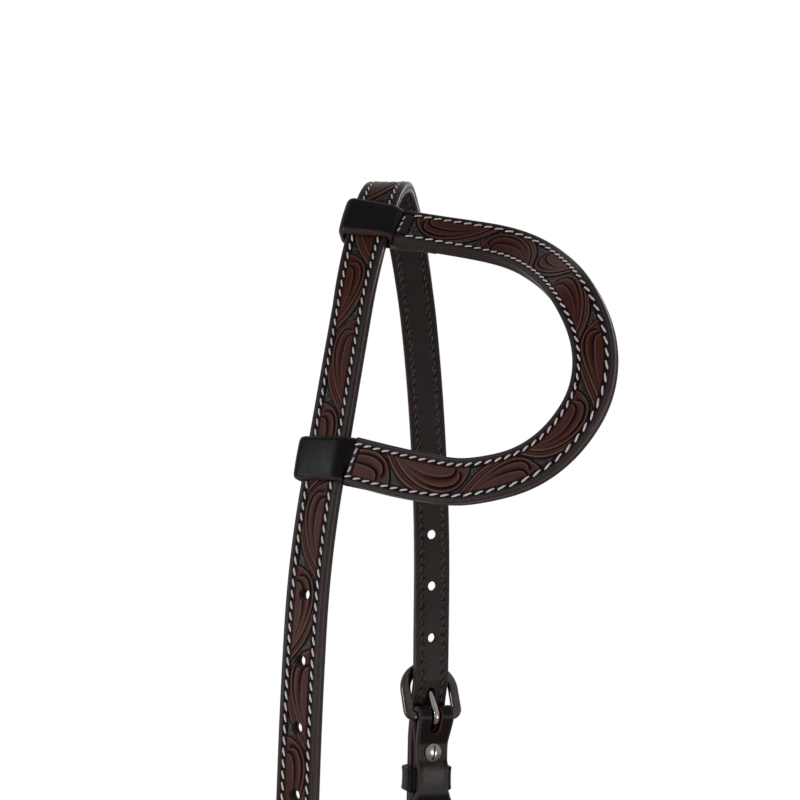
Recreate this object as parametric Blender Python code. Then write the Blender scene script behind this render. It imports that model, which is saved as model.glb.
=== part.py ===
"""A western headstall: a crown strap with a shaped, sliding ear piece, and two buckled cheeks.

Metres, +Z up. The horse faces +X and its right side, where the ear piece is, lies at -Y.
The origin is the underside of the crown strap at its highest point.
"""
import math

import bmesh
import bpy
from mathutils import Matrix, Quaternion, Vector

# Leather
STRAP_WIDTH = 0.01905
LAYER_THICK = 0.0026
PLAY = 0.0003
STRAP_THICK = 2 * LAYER_THICK + PLAY
EDGE_ROUND = 0.0008

# The crown strap's route, from its top down each side
CROWN_DROP = 0.2186
CROWN_SHIFT = 0.002
APEX_YAW = math.radians(-9.96)
APEX_LEAN = math.radians(3.8)
RIGHT_RUN_SHARES = (0.152, 0.253, 0.403, 0.265, 0.274)
RIGHT_BENDS = (50.4, 18.8, 2.4, 11.2, 2.5)
RIGHT_TWISTS = (-13.0, 25.9, 0.0, 0.0, 0.0)
RIGHT_SWEEPS = (0.0, 0.0, -1.1, 0.0, 0.0)
LEFT_RUN_SHARES = (0.066, 0.353, 0.381, 0.364, 0.206)
LEFT_BENDS = (32.6, 30.2, 26.8, 4.9, 0.0)
LEFT_TWISTS = (1.7, -17.3, -1.9, -8.8, -9.6)
LEFT_SWEEPS = (0.0, 3.2, 5.7, 4.8, 0.0)
ROUTE_STEP = 0.003
APEX_RUN = 0.036
HANG_START = 0.064
HANG_TURN = 0.075
HANG_END = 0.24

# Tongue holes and the crown's two tips
HOLE_COUNT = 7
HOLE_PITCH = 0.028
HOLE_RADIUS = 0.0026
TIP_MARGIN = 0.024
TIP_POINT = 0.012
RIGHT_TONGUE_HOLE = 4
LEFT_TONGUE_HOLE = 3

# Buckle
BAR_RADIUS = 0.0025
FRAME_REACH = 0.0271
FRAME_HALF_WIDTH = 0.0141
FRAME_CORNER = 0.0034
FRAME_SIDE_HALF = 0.0029
FRAME_THICK_HALF = 0.0019
FRAME_TOP_OUT = 0.0069
FOLD_PLAY = 0.0003
TONGUE_HALF_WIDTH = 0.0017
TONGUE_HALF_THICK = 0.0013
TONGUE_LENGTH = 0.0297
TONGUE_MOUTH = 0.0006
TONGUE_HOLE_SIDE_PLAY = 0.0009
TONGUE_HOLE_SWING_PLAY = 0.0020

# How far the crown lies out over the cheek's fold and post heads
BAR_RISE_RUN = 0.022
HEAD_RISE_RUN = 0.0135

# Cheek
CHEEK_FACE_MID = -0.0003
CHEEK_LENGTH = 0.185
FOLD_WIDTH = 0.0204
NECK_WIDTH = 0.0180
FLARE_WIDTH = 0.0340
BIT_WIDTH = 0.0190
NECK_AT = 0.020
FLARE_START = 0.0380
FLARE_FULL = 0.0560
FLARE_END = 0.074
BIT_TAPER_LENGTH = 0.043
TAIL_OVERLAP = 0.0012
UPPER_TAIL_OVERLAP = 0.0048
TAIL_MEETS = 0.0145
BIT_FOLD_RADIUS = 0.005
BIT_FOLD_LENGTH = 0.014
SLOT_HALF = 0.0031
SLOT_END = 0.0095

# Keeper
KEEPER_LENGTH = 0.0128
KEEPER_AT = 0.0341
KEEPER_WALL = 0.0022
KEEPER_INNER_WALL = 0.0016
KEEPER_HALF = 0.0107
KEEPER_SLIDE = 0.0018
KEEPER_ROUND = 0.0012
RAMP_LENGTH = 0.0026

# Screw posts and screws
FIRST_SCREW_AT = 0.0196
SECOND_SCREW_AT = 0.0504
BIT_SCREW_LENGTH = 0.0220
BIT_SCREW_PITCH = 0.0130
HEAD_RADIUS = 0.00475
HEAD_THICK = 0.0012
HEAD_ROUND = 0.0004
BARREL_RADIUS = 0.0025
BORE_RADIUS = 0.0017
SHANK_RADIUS = 0.0014
SCREW_DOME = 0.0018
POST_HOLE_RADIUS = 0.0028

# Ear piece and its two loops
EAR_WIDTH = 0.0208
EAR_SIDE_WIDTH = 0.0182
EAR_JOIN = 0.0136
EAR_REACH = 0.1195
UPPER_JOIN_AT = 0.0437
LOWER_JOIN_AT = 0.1615
EAR_TILT = math.radians(9.5)
EAR_TILT_FADE_SHARE = 0.45
EAR_STEPS = 44
LOOP_LENGTH = 0.0195
LOOP_WALL = 0.0027
LOOP_PLAY_WIDE = 0.0013
LOOP_PLAY_THICK = 0.0011
LOOP_ROUND = 0.0016
LOOP_TAIL = 0.0205
LOOP_TAIL_END = 0.0009
LOOP_TAIL_SKIVE = 0.0040
LOOP_LIP = 0.0004
LOOP_ROWS = 5

# One overrun and the facet counts that every cut and turned piece shares
OVERRUN = 0.002
HOLE_SIDES = 12
TURNED_SIDES = 10
APEX_STEP = 0.0042
FLARE_STEP = 0.0060
STRAP_STEP = 0.0115
BUCKLE_STEP = 0.0032

# The ear piece's centreline: along its reach from the strap, and along its span between the joins
EAR_REACH_SHARES = (0.0, 0.164, 0.344, 0.466, 0.580, 0.703, 0.841, 0.902, 0.961,
                    1.004, 1.008, 0.973, 0.883, 0.745, 0.551, 0.452, 0.224, 0.0)
EAR_SPAN_SHARES = (0.0, 0.009, 0.020, 0.038, 0.091, 0.196, 0.340, 0.408, 0.497,
                   0.608, 0.730, 0.828, 0.941, 1.023, 1.064, 1.067, 1.040, 1.0)
EAR_NARROW_SHARES = (0.14, 0.34, 0.72, 0.94)
TIP_SHARES = (0.0, 0.4, 0.7, 0.9, 1.0)
TIP_END_SHARE = 0.15
DOME_SHARES = ((0.0, 1.0), (0.6, 0.85), (1.0, 0.3))
SHANK_SHARES = (0.85, 0.5, 0.2)
TONGUE_TIP_SHARE = 0.45
TONGUE_NOSE_SHARE = 0.9

# The cheek's outer layer lies just inside the crown strap, and its fold sets how far out the crown lies
HALF_STRAP = STRAP_THICK / 2
FACE_TOP = CHEEK_FACE_MID + LAYER_THICK / 2
TAIL_MID = CHEEK_FACE_MID - LAYER_THICK - PLAY
FOLD_RADIUS = BAR_RADIUS + FOLD_PLAY + LAYER_THICK / 2
BAR_OUT = CHEEK_FACE_MID - FOLD_RADIUS
BAR_RISE = FACE_TOP + PLAY + HALF_STRAP
HEAD_RISE = HEAD_THICK + PLAY
FRAME_LEAN = math.asin((FRAME_TOP_OUT - BAR_OUT) / FRAME_REACH)
HOOK_RADIUS = BAR_RADIUS + PLAY + TONGUE_HALF_THICK
TONGUE_REST = FRAME_THICK_HALF + PLAY + TONGUE_HALF_THICK
BIT_FOLD_MID = BIT_FOLD_RADIUS + LAYER_THICK / 2
BIT_FOLD_MEETS = CHEEK_LENGTH - BIT_FOLD_LENGTH
TAPER_END = CHEEK_LENGTH - BIT_TAPER_LENGTH
LAST_SCREW_AT = CHEEK_LENGTH - BIT_SCREW_LENGTH
THIRD_SCREW_AT = LAST_SCREW_AT - BIT_SCREW_PITCH
SCREW_STATIONS = (FIRST_SCREW_AT, SECOND_SCREW_AT, THIRD_SCREW_AT, LAST_SCREW_AT)
UPPER_TAIL_END = SECOND_SCREW_AT + POST_HOLE_RADIUS + UPPER_TAIL_OVERLAP
LOWER_TAIL_END = THIRD_SCREW_AT - POST_HOLE_RADIUS - TAIL_OVERLAP

TOOLED = ("tooled_leather", (0.090, 0.026, 0.018, 1.0), 0.38, 0.0)
LINING = ("lining_leather", (0.030, 0.025, 0.023, 1.0), 0.50, 0.0)
BLACK = ("black_leather", (0.010, 0.009, 0.010, 1.0), 0.30, 0.0)
STEEL = ("dark_steel", (0.33, 0.32, 0.31, 1.0), 0.25, 1.0)
SCREW_STEEL = ("screw_steel", (0.55, 0.53, 0.50, 1.0), 0.28, 1.0)


def clear_scene():
    for item in list(bpy.data.objects):
        bpy.data.objects.remove(item, do_unlink=True)


def material(look):
    name, colour, roughness, metallic = look
    found = bpy.data.materials.get(name)
    if found:
        return found
    made = bpy.data.materials.new(name)
    made.use_nodes = True
    shader = made.node_tree.nodes["Principled BSDF"]
    shader.inputs["Base Color"].default_value = colour
    shader.inputs["Roughness"].default_value = roughness
    shader.inputs["Metallic"].default_value = metallic
    made.diffuse_color = colour
    return made


def smooth(share):
    share = min(1.0, max(0.0, share))
    return share * share * (3 - 2 * share)


def blend(low, high, share):
    return low + (high - low) * share


def spread(start, end, step):
    """Evenly spaced places from start to end, at most one step apart."""
    count = max(1, math.ceil(abs(end - start) / step))
    return [blend(start, end, i / count) for i in range(count + 1)]


class Route:
    """The strap's outer face along one side: a frame with X forward, Z outward, at each station."""

    def __init__(self, down, shares, bends, twists, sweeps, tongue_hole):
        self.down = down
        self.tongue_hole = tongue_hole
        self.first_hole = CROWN_DROP - down * CROWN_SHIFT
        self.bar = self.hole(tongue_hole) + tongue_crossing()
        self.tip = self.hole(HOLE_COUNT - 1) + TIP_MARGIN
        turn = Quaternion((1, 0, 0), APEX_LEAN) @ Quaternion((0, 0, 1), APEX_YAW)
        self.stations = [0.0]
        self.places = [turn @ Vector((0, 0, STRAP_THICK))]
        self.turns = [turn]
        for share, bend, twist, sweep in zip(shares, bends, twists, sweeps):
            length = share * CROWN_DROP
            steps = max(1, round(length / ROUTE_STEP))
            half = (Quaternion((1, 0, 0), -down * math.radians(bend) / steps / 2)
                    @ Quaternion((0, 1, 0), down * math.radians(twist) / steps / 2)
                    @ Quaternion((0, 0, 1), math.radians(sweep) / steps / 2))
            for _ in range(steps):
                self.advance(length / steps, half)
        still = Quaternion()
        self.advance(self.bar + HANG_START - self.stations[-1], still)
        plumb = Matrix(((1, 0, 0), (0, 0, down), (0, -down, 0))).to_quaternion()
        first = self.turns[-1].copy()
        steps = round(HANG_TURN / ROUTE_STEP)
        for i in range(steps):
            middle = first.slerp(plumb, smooth((i + 0.5) / steps))
            after = first.slerp(plumb, smooth((i + 1) / steps))
            self.turns[-1] = middle
            self.advance(HANG_TURN / steps, still)
            self.turns[-1] = after
        self.advance(self.bar + HANG_END - self.stations[-1], still)

    def hole(self, index):
        return self.first_hole + index * HOLE_PITCH

    def advance(self, length, half):
        turn = self.turns[-1] @ half
        place = self.places[-1] + turn @ Vector((0, self.down * length, 0))
        self.stations.append(self.stations[-1] + length)
        self.places.append(place)
        self.turns.append((turn @ half).normalized())

    def at(self, station):
        """Place and turn of the outer face at one station."""
        last = len(self.stations) - 2
        low = 0
        while low < last and self.stations[low + 1] < station:
            low += 1
        share = (station - self.stations[low]) / (self.stations[low + 1] - self.stations[low])
        place = self.places[low].lerp(self.places[low + 1], share)
        turn = self.turns[low].slerp(self.turns[low + 1], min(1.0, max(0.0, share)))
        return place, turn

    def spot(self, station, forward, out):
        """A point given by its station, its distance forward and its distance out from mid-strap."""
        place, turn = self.at(station)
        return place + turn @ Vector((forward, 0, out - STRAP_THICK / 2))

    def upright(self, station, out=0.0):
        """A frame with Y up the strap and Z outward."""
        turn = self.at(station)[1]
        if self.down > 0:
            turn = turn @ Quaternion((0, 0, 1), math.pi)
        return Matrix.Translation(self.spot(station, 0, out)) @ turn.to_matrix().to_4x4()


def crown_out(below):
    """How far out mid-strap lies, this far below the heel bar."""
    return BAR_RISE * smooth(1 + below / BAR_RISE_RUN) + HEAD_RISE * smooth(below / HEAD_RISE_RUN)


def shank_line():
    """Where the tongue's shank leaves its eye, and its rest on the top bar: each up the frame and out."""
    rest = (FRAME_REACH, TONGUE_REST)
    angle = tangent_angle((0, 0), HOOK_RADIUS, rest, -1)
    return (HOOK_RADIUS * math.cos(angle), HOOK_RADIUS * math.sin(angle)), rest


def tongue_crossing():
    """How far above the heel bar the tongue passes through mid-strap."""
    heel, rest = shank_line()
    low, high = 0.0, 1.0
    for _ in range(40):
        share = (low + high) / 2
        up, out = tongue_spot(blend(heel[0], rest[0], share), blend(heel[1], rest[1], share))
        if out < crown_out(-up):
            low = share
        else:
            high = share
    return up


def tongue_spot(along, out):
    """A point of the leaning buckle, as its height above the bar and its distance out."""
    return (along * math.cos(FRAME_LEAN) - out * math.sin(FRAME_LEAN),
            BAR_OUT + along * math.sin(FRAME_LEAN) + out * math.cos(FRAME_LEAN))


def tangent_angle(centre, radius, point, side):
    """The direction from a circle's centre to where a line from the point touches it."""
    along, out = point[0] - centre[0], point[1] - centre[1]
    return math.atan2(out, along) + side * math.acos(radius / math.hypot(along, out))


def arc(centre, radius, start, end, count):
    """Points round part of a circle."""
    angles = [blend(start, end, i / count) for i in range(count + 1)]
    return [(centre[0] + radius * math.cos(a), centre[1] + radius * math.sin(a)) for a in angles]


def loft(rings):
    """A closed body through rings of points, with an end face on the first and the last."""
    shape = bmesh.new()
    rows = [[shape.verts.new(point) for point in ring] for ring in rings]
    bridge(shape, rows)
    shape.faces.new(rows[0])
    shape.faces.new(rows[-1])
    return shape


def hoop(rings):
    """A closed body through rings of points that return to the first."""
    shape = bmesh.new()
    rows = [[shape.verts.new(point) for point in ring] for ring in rings]
    bridge(shape, rows + rows[:1])
    return shape


def bridge(shape, rows):
    for near, far in zip(rows, rows[1:]):
        for i in range(len(near)):
            j = (i + 1) % len(near)
            shape.faces.new((near[i], near[j], far[j], far[i]))


def turned(profile, frame, sides=TURNED_SIDES):
    """A body turned about the frame's Z from (radius, height) points that start and end on the axis."""
    angles = [2 * math.pi * i / sides for i in range(sides)]
    shape = bmesh.new()
    rows = [[shape.verts.new(frame @ Vector((radius * math.cos(a), radius * math.sin(a), height)))
             for a in angles] for radius, height in profile[1:-1]]
    bridge(shape, rows)
    for row, (_, height) in ((rows[0], profile[0]), (rows[-1], profile[-1])):
        pole = shape.verts.new(frame @ Vector((0, 0, height)))
        for i in range(sides):
            shape.faces.new((row[i], row[(i + 1) % sides], pole))
    return shape


def prism(shape, outline, low, high, frame):
    """Adds a closed prism that stands on an outline in the frame's XY plane."""
    rows = [[shape.verts.new(frame @ Vector((x, y, z))) for x, y in outline] for z in (low, high)]
    bridge(shape, rows)
    shape.faces.new(rows[0])
    shape.faces.new(rows[1])


def circle(radius, sides, squash=1.0, centre=0.0):
    angles = [2 * math.pi * (i + 0.5) / sides for i in range(sides)]
    return [(radius * math.cos(a), centre + radius * squash * math.sin(a)) for a in angles]


def add_piece(name, look, shape, frame, parent=None):
    """Makes the object, with its origin at the frame and its parent, if any, in the same place."""
    bmesh.ops.transform(shape, matrix=frame.inverted(), verts=shape.verts)
    bmesh.ops.recalc_face_normals(shape, faces=shape.faces)
    mesh = bpy.data.meshes.new(name)
    shape.to_mesh(mesh)
    shape.free()
    piece = bpy.data.objects.new(name, mesh)
    bpy.context.scene.collection.objects.link(piece)
    if look:
        mesh.materials.append(material(look))
        mesh.shade_smooth()
        mesh.set_sharp_from_angle(angle=math.radians(32))
    if parent:
        piece.parent = parent
    else:
        piece.matrix_world = frame
    return piece


def add_cutter(name, shape, frame):
    cutter = add_piece(name, None, shape, frame)
    cutter.hide_render = True
    cutter.display_type = "WIRE"
    return cutter


def cut(piece, cutter):
    modifier = piece.modifiers.new("Cut", "BOOLEAN")
    modifier.operation = "DIFFERENCE"
    modifier.solver = "EXACT"
    modifier.object = cutter


def add_pivot(name, frame):
    pivot = bpy.data.objects.new(name, None)
    bpy.context.scene.collection.objects.link(pivot)
    pivot.matrix_world = frame
    return pivot


def layer_section(half, hidden, exposed):
    """Across and out of a leather layer's six corners; its exposed face has eased edges."""
    ease = math.copysign(EDGE_ROUND, exposed - hidden)
    side = half - min(EDGE_ROUND, half / 2)
    return ((-half, hidden), (half, hidden), (half, exposed - ease),
            (side, exposed), (-side, exposed), (-half, exposed - ease))


LAYER_FACES = {"tooled": (PLAY / 2, HALF_STRAP), "lining": (-PLAY / 2, -HALF_STRAP)}


def crown_stations(route):
    """Stations and half widths down one side of the crown strap."""
    point = route.tip - TIP_POINT
    stations = (spread(0, APEX_RUN, APEX_STEP)
                + spread(APEX_RUN, route.bar - BAR_RISE_RUN, STRAP_STEP)[1:]
                + spread(route.bar - BAR_RISE_RUN, route.bar + HEAD_RISE_RUN, BUCKLE_STEP)[1:]
                + spread(route.bar + HEAD_RISE_RUN, point, STRAP_STEP)[1:])
    rows = [(station, STRAP_WIDTH / 2) for station in stations]
    for share in TIP_SHARES[1:]:
        width_share = max(TIP_END_SHARE, math.sqrt(1 - share * share))
        rows.append((point + TIP_POINT * share, STRAP_WIDTH / 2 * width_share))
    return rows


def crown_ring(route, station, half, faces):
    out = crown_out(station - route.bar)
    return [route.spot(station, forward, out + height) for forward, height in layer_section(half, *faces)]


def crown_layer(name, look, faces, holes):
    right_rows = reversed(crown_stations(RIGHT)[1:])
    rings = [crown_ring(RIGHT, station, half, faces) for station, half in right_rows]
    rings += [crown_ring(LEFT, station, half, faces) for station, half in crown_stations(LEFT)]
    cut(add_piece(name, look, loft(rings), Matrix.Translation((0, 0, HALF_STRAP))), holes)


def crown_holes():
    """Round tongue holes, and the slanting ones that the two tongues pass through."""
    shape = bmesh.new()
    depth = HALF_STRAP + OVERRUN
    for _, route in SIDES:
        for index in range(HOLE_COUNT):
            station = route.hole(index)
            if index != route.tongue_hole:
                frame = route.upright(station, crown_out(station - route.bar))
                prism(shape, circle(HOLE_RADIUS, HOLE_SIDES), -depth, depth, frame)
        heel, rest = shank_line()
        slope = math.atan2(rest[1] - heel[1], rest[0] - heel[0])
        middle = route.upright(route.hole(route.tongue_hole), crown_out(-tongue_crossing()))
        tunnel = middle @ Matrix.Rotation(FRAME_LEAN + slope - math.pi / 2, 4, "X")
        wide = TONGUE_HALF_WIDTH + TONGUE_HOLE_SIDE_PLAY
        deep = TONGUE_HALF_THICK + TONGUE_HOLE_SWING_PLAY
        prism(shape, circle(wide, HOLE_SIDES, deep / wide), -STRAP_WIDTH / 2, STRAP_WIDTH / 2, tunnel)
    return add_cutter("crown_hole_cutter", shape, Matrix.Identity(4))


class EarBand:
    """The ear piece's centreline, with a frame at even steps: X along it, Y away from the ear, Z outward."""

    def __init__(self):
        guide = []
        span = LOWER_JOIN_AT - UPPER_JOIN_AT
        for reach_share, span_share in zip(EAR_REACH_SHARES, EAR_SPAN_SHARES):
            forward = blend(EAR_JOIN, EAR_REACH, reach_share)
            guide.append(Vector((forward, UPPER_JOIN_AT + span * span_share)))
        flat = []
        padded = [2 * guide[0] - guide[1]] + guide + [2 * guide[-1] - guide[-2]]
        for a, b, c, d in zip(padded, padded[1:], padded[2:], padded[3:]):
            for i in range(8):
                t = i / 8
                flat.append(0.5 * (2 * b + (c - a) * t + (2 * a - 5 * b + 4 * c - d) * t * t
                                   + (3 * b - 3 * c + d - a) * t * t * t))
        flat.append(guide[-1])
        points = [RIGHT.spot(station, forward, 0) for forward, station in flat]
        distances = [0.0]
        for a, b in zip(points, points[1:]):
            distances.append(distances[-1] + (b - a).length)
        self.length = distances[-1]
        self.frames = []
        for i in range(EAR_STEPS + 1):
            along = self.length * i / EAR_STEPS
            low = max(j for j in range(len(points) - 1) if distances[j] <= along + PLAY / 2)
            low = min(low, len(points) - 2)
            share = (along - distances[low]) / (distances[low + 1] - distances[low])
            place = points[low].lerp(points[low + 1], share)
            station = blend(flat[low][1], flat[low + 1][1], share)
            before, after = max(0, low - 2), min(len(points) - 1, low + 3)
            course = (points[after] - points[before]).normalized()
            tilt = EAR_TILT * (1 - smooth(along / self.length / EAR_TILT_FADE_SHARE))
            outward = RIGHT.at(station)[1] @ Quaternion((1, 0, 0), -tilt) @ Vector((0, 0, 1))
            away = outward.cross(course).normalized()
            self.frames.append((place, course, away, course.cross(away)))

    def place(self, along, across, out):
        """A point this far along the band, away from the ear and outward from mid-band."""
        step = self.length / EAR_STEPS
        low = min(EAR_STEPS - 1, max(0, int(along / step)))
        share = along / step - low
        near, far = [frame[0] + frame[2] * across + frame[3] * out for frame in self.frames[low:low + 2]]
        return near.lerp(far, share)

    def half_width(self, along):
        share = along / self.length
        start, full, still, end = EAR_NARROW_SHARES
        narrow = smooth((share - start) / (full - start)) * (1 - smooth((share - still) / (end - still)))
        return blend(EAR_WIDTH, EAR_SIDE_WIDTH, narrow) / 2


def ear_layer(name, look, band, faces, slide):
    rings = []
    for i in range(EAR_STEPS + 1):
        along = band.length * i / EAR_STEPS
        section = layer_section(band.half_width(along), *faces)
        rings.append([band.place(along, across, out) for across, out in section])
    add_piece(name, look, loft(rings), slide.matrix_world.copy(), slide)


def loop_rows(overrun):
    reach = LOOP_LENGTH / 2 + overrun
    return [blend(-reach, reach, i / (LOOP_ROWS - 1)) for i in range(LOOP_ROWS)]


def ear_loop(name, band, join, sign, anchor, slide):
    """A loop round the crown strap; its front butts the ear piece and its skived tail runs behind it."""
    open_wide = STRAP_WIDTH / 2 + LOOP_PLAY_WIDE
    open_high = HALF_STRAP + LOOP_PLAY_THICK
    wide = open_wide + LOOP_WALL
    high = open_high + LOOP_WALL
    rings = []
    for across in loop_rows(0):
        station = join - sign * across

        def crown(forward, out):
            return RIGHT.spot(station, forward, out)

        def ear(along, out):
            return band.place(anchor + sign * along, across, out)

        rings.append([crown(-wide + LOOP_ROUND, high),
                      crown(open_wide - LOOP_ROUND / 2, high),
                      ear(-PLAY, HALF_STRAP + LOOP_LIP),
                      ear(-PLAY, -HALF_STRAP - PLAY),
                      ear(LOOP_TAIL, -HALF_STRAP - PLAY),
                      ear(LOOP_TAIL, -HALF_STRAP - PLAY - LOOP_TAIL_END),
                      ear(LOOP_TAIL_SKIVE, -HALF_STRAP - PLAY - LOOP_WALL),
                      crown(open_wide, -high),
                      crown(-wide + LOOP_ROUND, -high),
                      crown(-wide, -high + LOOP_ROUND),
                      crown(-wide, high - LOOP_ROUND)])
    ease = LOOP_PLAY_THICK
    opening = ((-open_wide + ease, open_high), (open_wide - ease, open_high), (open_wide, open_high - ease),
               (open_wide, -open_high + ease), (open_wide - ease, -open_high),
               (-open_wide + ease, -open_high), (-open_wide, -open_high + ease),
               (-open_wide, open_high - ease))
    holes = [[RIGHT.spot(join - sign * across, forward, out) for forward, out in opening]
             for across in loop_rows(OVERRUN)]
    cutter = add_cutter(name + "_cutter", loft(holes), Matrix.Identity(4))
    cut(add_piece(name, BLACK, loft(rings), slide.matrix_world.copy(), slide), cutter)


def add_ear():
    band = EarBand()
    upper, lower = RIGHT.spot(UPPER_JOIN_AT, 0, 0), RIGHT.spot(LOWER_JOIN_AT, 0, 0)
    course = (upper - lower).normalized()
    turn = course.to_track_quat("Y", "Z").to_matrix().to_4x4()
    slide = add_pivot("ear_slide", Matrix.Translation((upper + lower) / 2) @ turn)
    ear_layer("ear_tooled_layer", TOOLED, band, LAYER_FACES["tooled"], slide)
    ear_layer("ear_lining", LINING, band, LAYER_FACES["lining"], slide)
    ear_loop("ear_upper_loop", band, UPPER_JOIN_AT, 1, 0, slide)
    ear_loop("ear_lower_loop", band, LOWER_JOIN_AT, -1, band.length, slide)


def cheek_half_width(below):
    """Half the cheek's width, this far below the heel bar."""
    half = blend(FOLD_WIDTH, NECK_WIDTH, smooth(below / NECK_AT))
    half = blend(half, FLARE_WIDTH, smooth((below - FLARE_START) / (FLARE_FULL - FLARE_START)))
    return blend(half, BIT_WIDTH, smooth((below - FLARE_END) / (TAPER_END - FLARE_END))) / 2


def keeper_reach():
    """Where the keeper's wall starts and ends, below the bar, over its whole slide."""
    return KEEPER_AT - KEEPER_LENGTH / 2 - PLAY, KEEPER_AT + KEEPER_LENGTH / 2 + KEEPER_SLIDE + PLAY


def cheek_run():
    """Stations down the cheek's outer side, from the bar to the bit loop."""
    return (spread(0, FLARE_START, FLARE_STEP) + spread(FLARE_START, FLARE_END, FLARE_STEP)[1:]
            + spread(FLARE_END, CHEEK_LENGTH, STRAP_STEP)[1:])


def upper_tail():
    """The tail inside the cheek from its end up to the fold; it bows in round the keeper's wall."""
    start, end = keeper_reach()
    bowed = TAIL_MID - KEEPER_INNER_WALL - PLAY
    flat = spread(UPPER_TAIL_END, end + RAMP_LENGTH, FLARE_STEP)
    points = [(below, TAIL_MID) for below in flat]
    points += [(end, bowed), ((start + end) / 2, bowed), (start, bowed), (start - RAMP_LENGTH, TAIL_MID)]
    return points + [(TAIL_MEETS, TAIL_MID)]


def cheek_course():
    """The cheek strap's mid-line from its upper tail, over the bar, down and round the bit loop."""
    fold = (0, BAR_OUT)
    leave = tangent_angle(fold, FOLD_RADIUS, (TAIL_MEETS, TAIL_MID), -1)
    points = upper_tail() + arc(fold, FOLD_RADIUS, leave, math.pi / 2 - 2 * math.pi, 11)
    points += [(below, CHEEK_FACE_MID) for below in cheek_run()[1:-1]]
    bit = (CHEEK_LENGTH, CHEEK_FACE_MID - BIT_FOLD_MID)
    meet = tangent_angle(bit, BIT_FOLD_MID, (BIT_FOLD_MEETS, TAIL_MID), 1) - 2 * math.pi
    points += arc(bit, BIT_FOLD_MID, math.pi / 2, meet, 12)
    return points + [(below, TAIL_MID) for below in spread(BIT_FOLD_MEETS, LOWER_TAIL_END, STRAP_STEP)]


def cheek_strap(name, route, frame, holes):
    course = cheek_course()
    rings = []
    for i, (below, out) in enumerate(course):
        back, ahead = course[max(0, i - 1)], course[min(len(course) - 1, i + 1)]
        along = Vector((ahead[0] - back[0], ahead[1] - back[1])).normalized()
        face = Vector((-along[1], along[0]))
        ring = []
        for across, height in layer_section(cheek_half_width(below), -LAYER_THICK / 2, LAYER_THICK / 2):
            ring.append(route.spot(route.bar + below + face[0] * height, across, out + face[1] * height))
        rings.append(ring)
    cut(add_piece(name, TOOLED, loft(rings), frame), holes)


def cheek_lining(name, route, frame):
    start = UPPER_TAIL_END + PLAY
    end = LOWER_TAIL_END - PLAY
    rings = []
    for below in [start] + [below for below in cheek_run() if start < below < end] + [end]:
        half = cheek_half_width(below)
        section = layer_section(half, TAIL_MID + LAYER_THICK / 2, TAIL_MID - LAYER_THICK / 2)
        rings.append([route.spot(route.bar + below, across, out) for across, out in section])
    add_piece(name, LINING, loft(rings), frame)


def cheek_holes(name, route):
    """The tongue's slot through both sides of the fold, and the screw posts' holes."""
    shape = bmesh.new()
    depth = FOLD_RADIUS + LAYER_THICK + OVERRUN
    straight = -SLOT_END + SLOT_HALF
    slot = [(SLOT_HALF, depth), (-SLOT_HALF, depth)] + arc((0, straight), SLOT_HALF, math.pi, 2 * math.pi, 6)
    prism(shape, slot, -depth, depth, route.upright(route.bar, BAR_OUT))
    for below in SCREW_STATIONS:
        frame = route.upright(route.bar + below, (CHEEK_FACE_MID + TAIL_MID) / 2)
        prism(shape, circle(POST_HOLE_RADIUS, TURNED_SIDES), -STRAP_THICK, STRAP_THICK, frame)
    return add_cutter(name, shape, Matrix.Identity(4))


def add_cheek(side, route):
    frame = route.upright(route.bar + NECK_AT, CHEEK_FACE_MID)
    cheek_strap(side + "_cheek_tooled", route, frame, cheek_holes(side + "_cheek_cutter", route))
    cheek_lining(side + "_cheek_lining", route, route.upright(route.bar + FLARE_END, TAIL_MID))


def buckle_frame_course():
    """The frame's centreline across and up, with its half sizes in its plane and through it."""
    inner = FRAME_HALF_WIDTH - FRAME_CORNER
    rise = FRAME_REACH - FRAME_HALF_WIDTH
    rows = [((0.0, 0.0), 0.0)]
    corner = arc((inner, FRAME_CORNER), FRAME_CORNER, -math.pi / 2, 0, 3)
    rows += [(point, i / 3) for i, point in enumerate(corner)]
    steps = 12
    for i in range(steps + 1):
        angle = math.pi * i / steps
        rows.append(((FRAME_HALF_WIDTH * math.cos(angle), FRAME_HALF_WIDTH + rise * math.sin(angle)), 1.0))
    rows += [((-point[0], point[1]), (3 - i) / 3) for i, point in enumerate(reversed(corner))]
    return rows


def buckle_frame(name, frame):
    rows = buckle_frame_course()
    sides = 8
    rings = []
    for i, (point, share) in enumerate(rows):
        back, ahead = rows[i - 1][0], rows[(i + 1) % len(rows)][0]
        along = Vector((ahead[0] - back[0], ahead[1] - back[1])).normalized()
        normal = Vector((along[1], -along[0]))
        wide = blend(BAR_RADIUS, FRAME_SIDE_HALF, smooth(share))
        thick = blend(BAR_RADIUS, FRAME_THICK_HALF, smooth(share))
        ring = []
        for k in range(sides):
            angle = 2 * math.pi * (k + 0.5) / sides
            reach = wide * math.cos(angle)
            ring.append(frame @ Vector((point[0] + normal[0] * reach, point[1] + normal[1] * reach,
                                        thick * math.sin(angle))))
        rings.append(ring)
    add_piece(name, STEEL, hoop(rings), frame)


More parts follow.
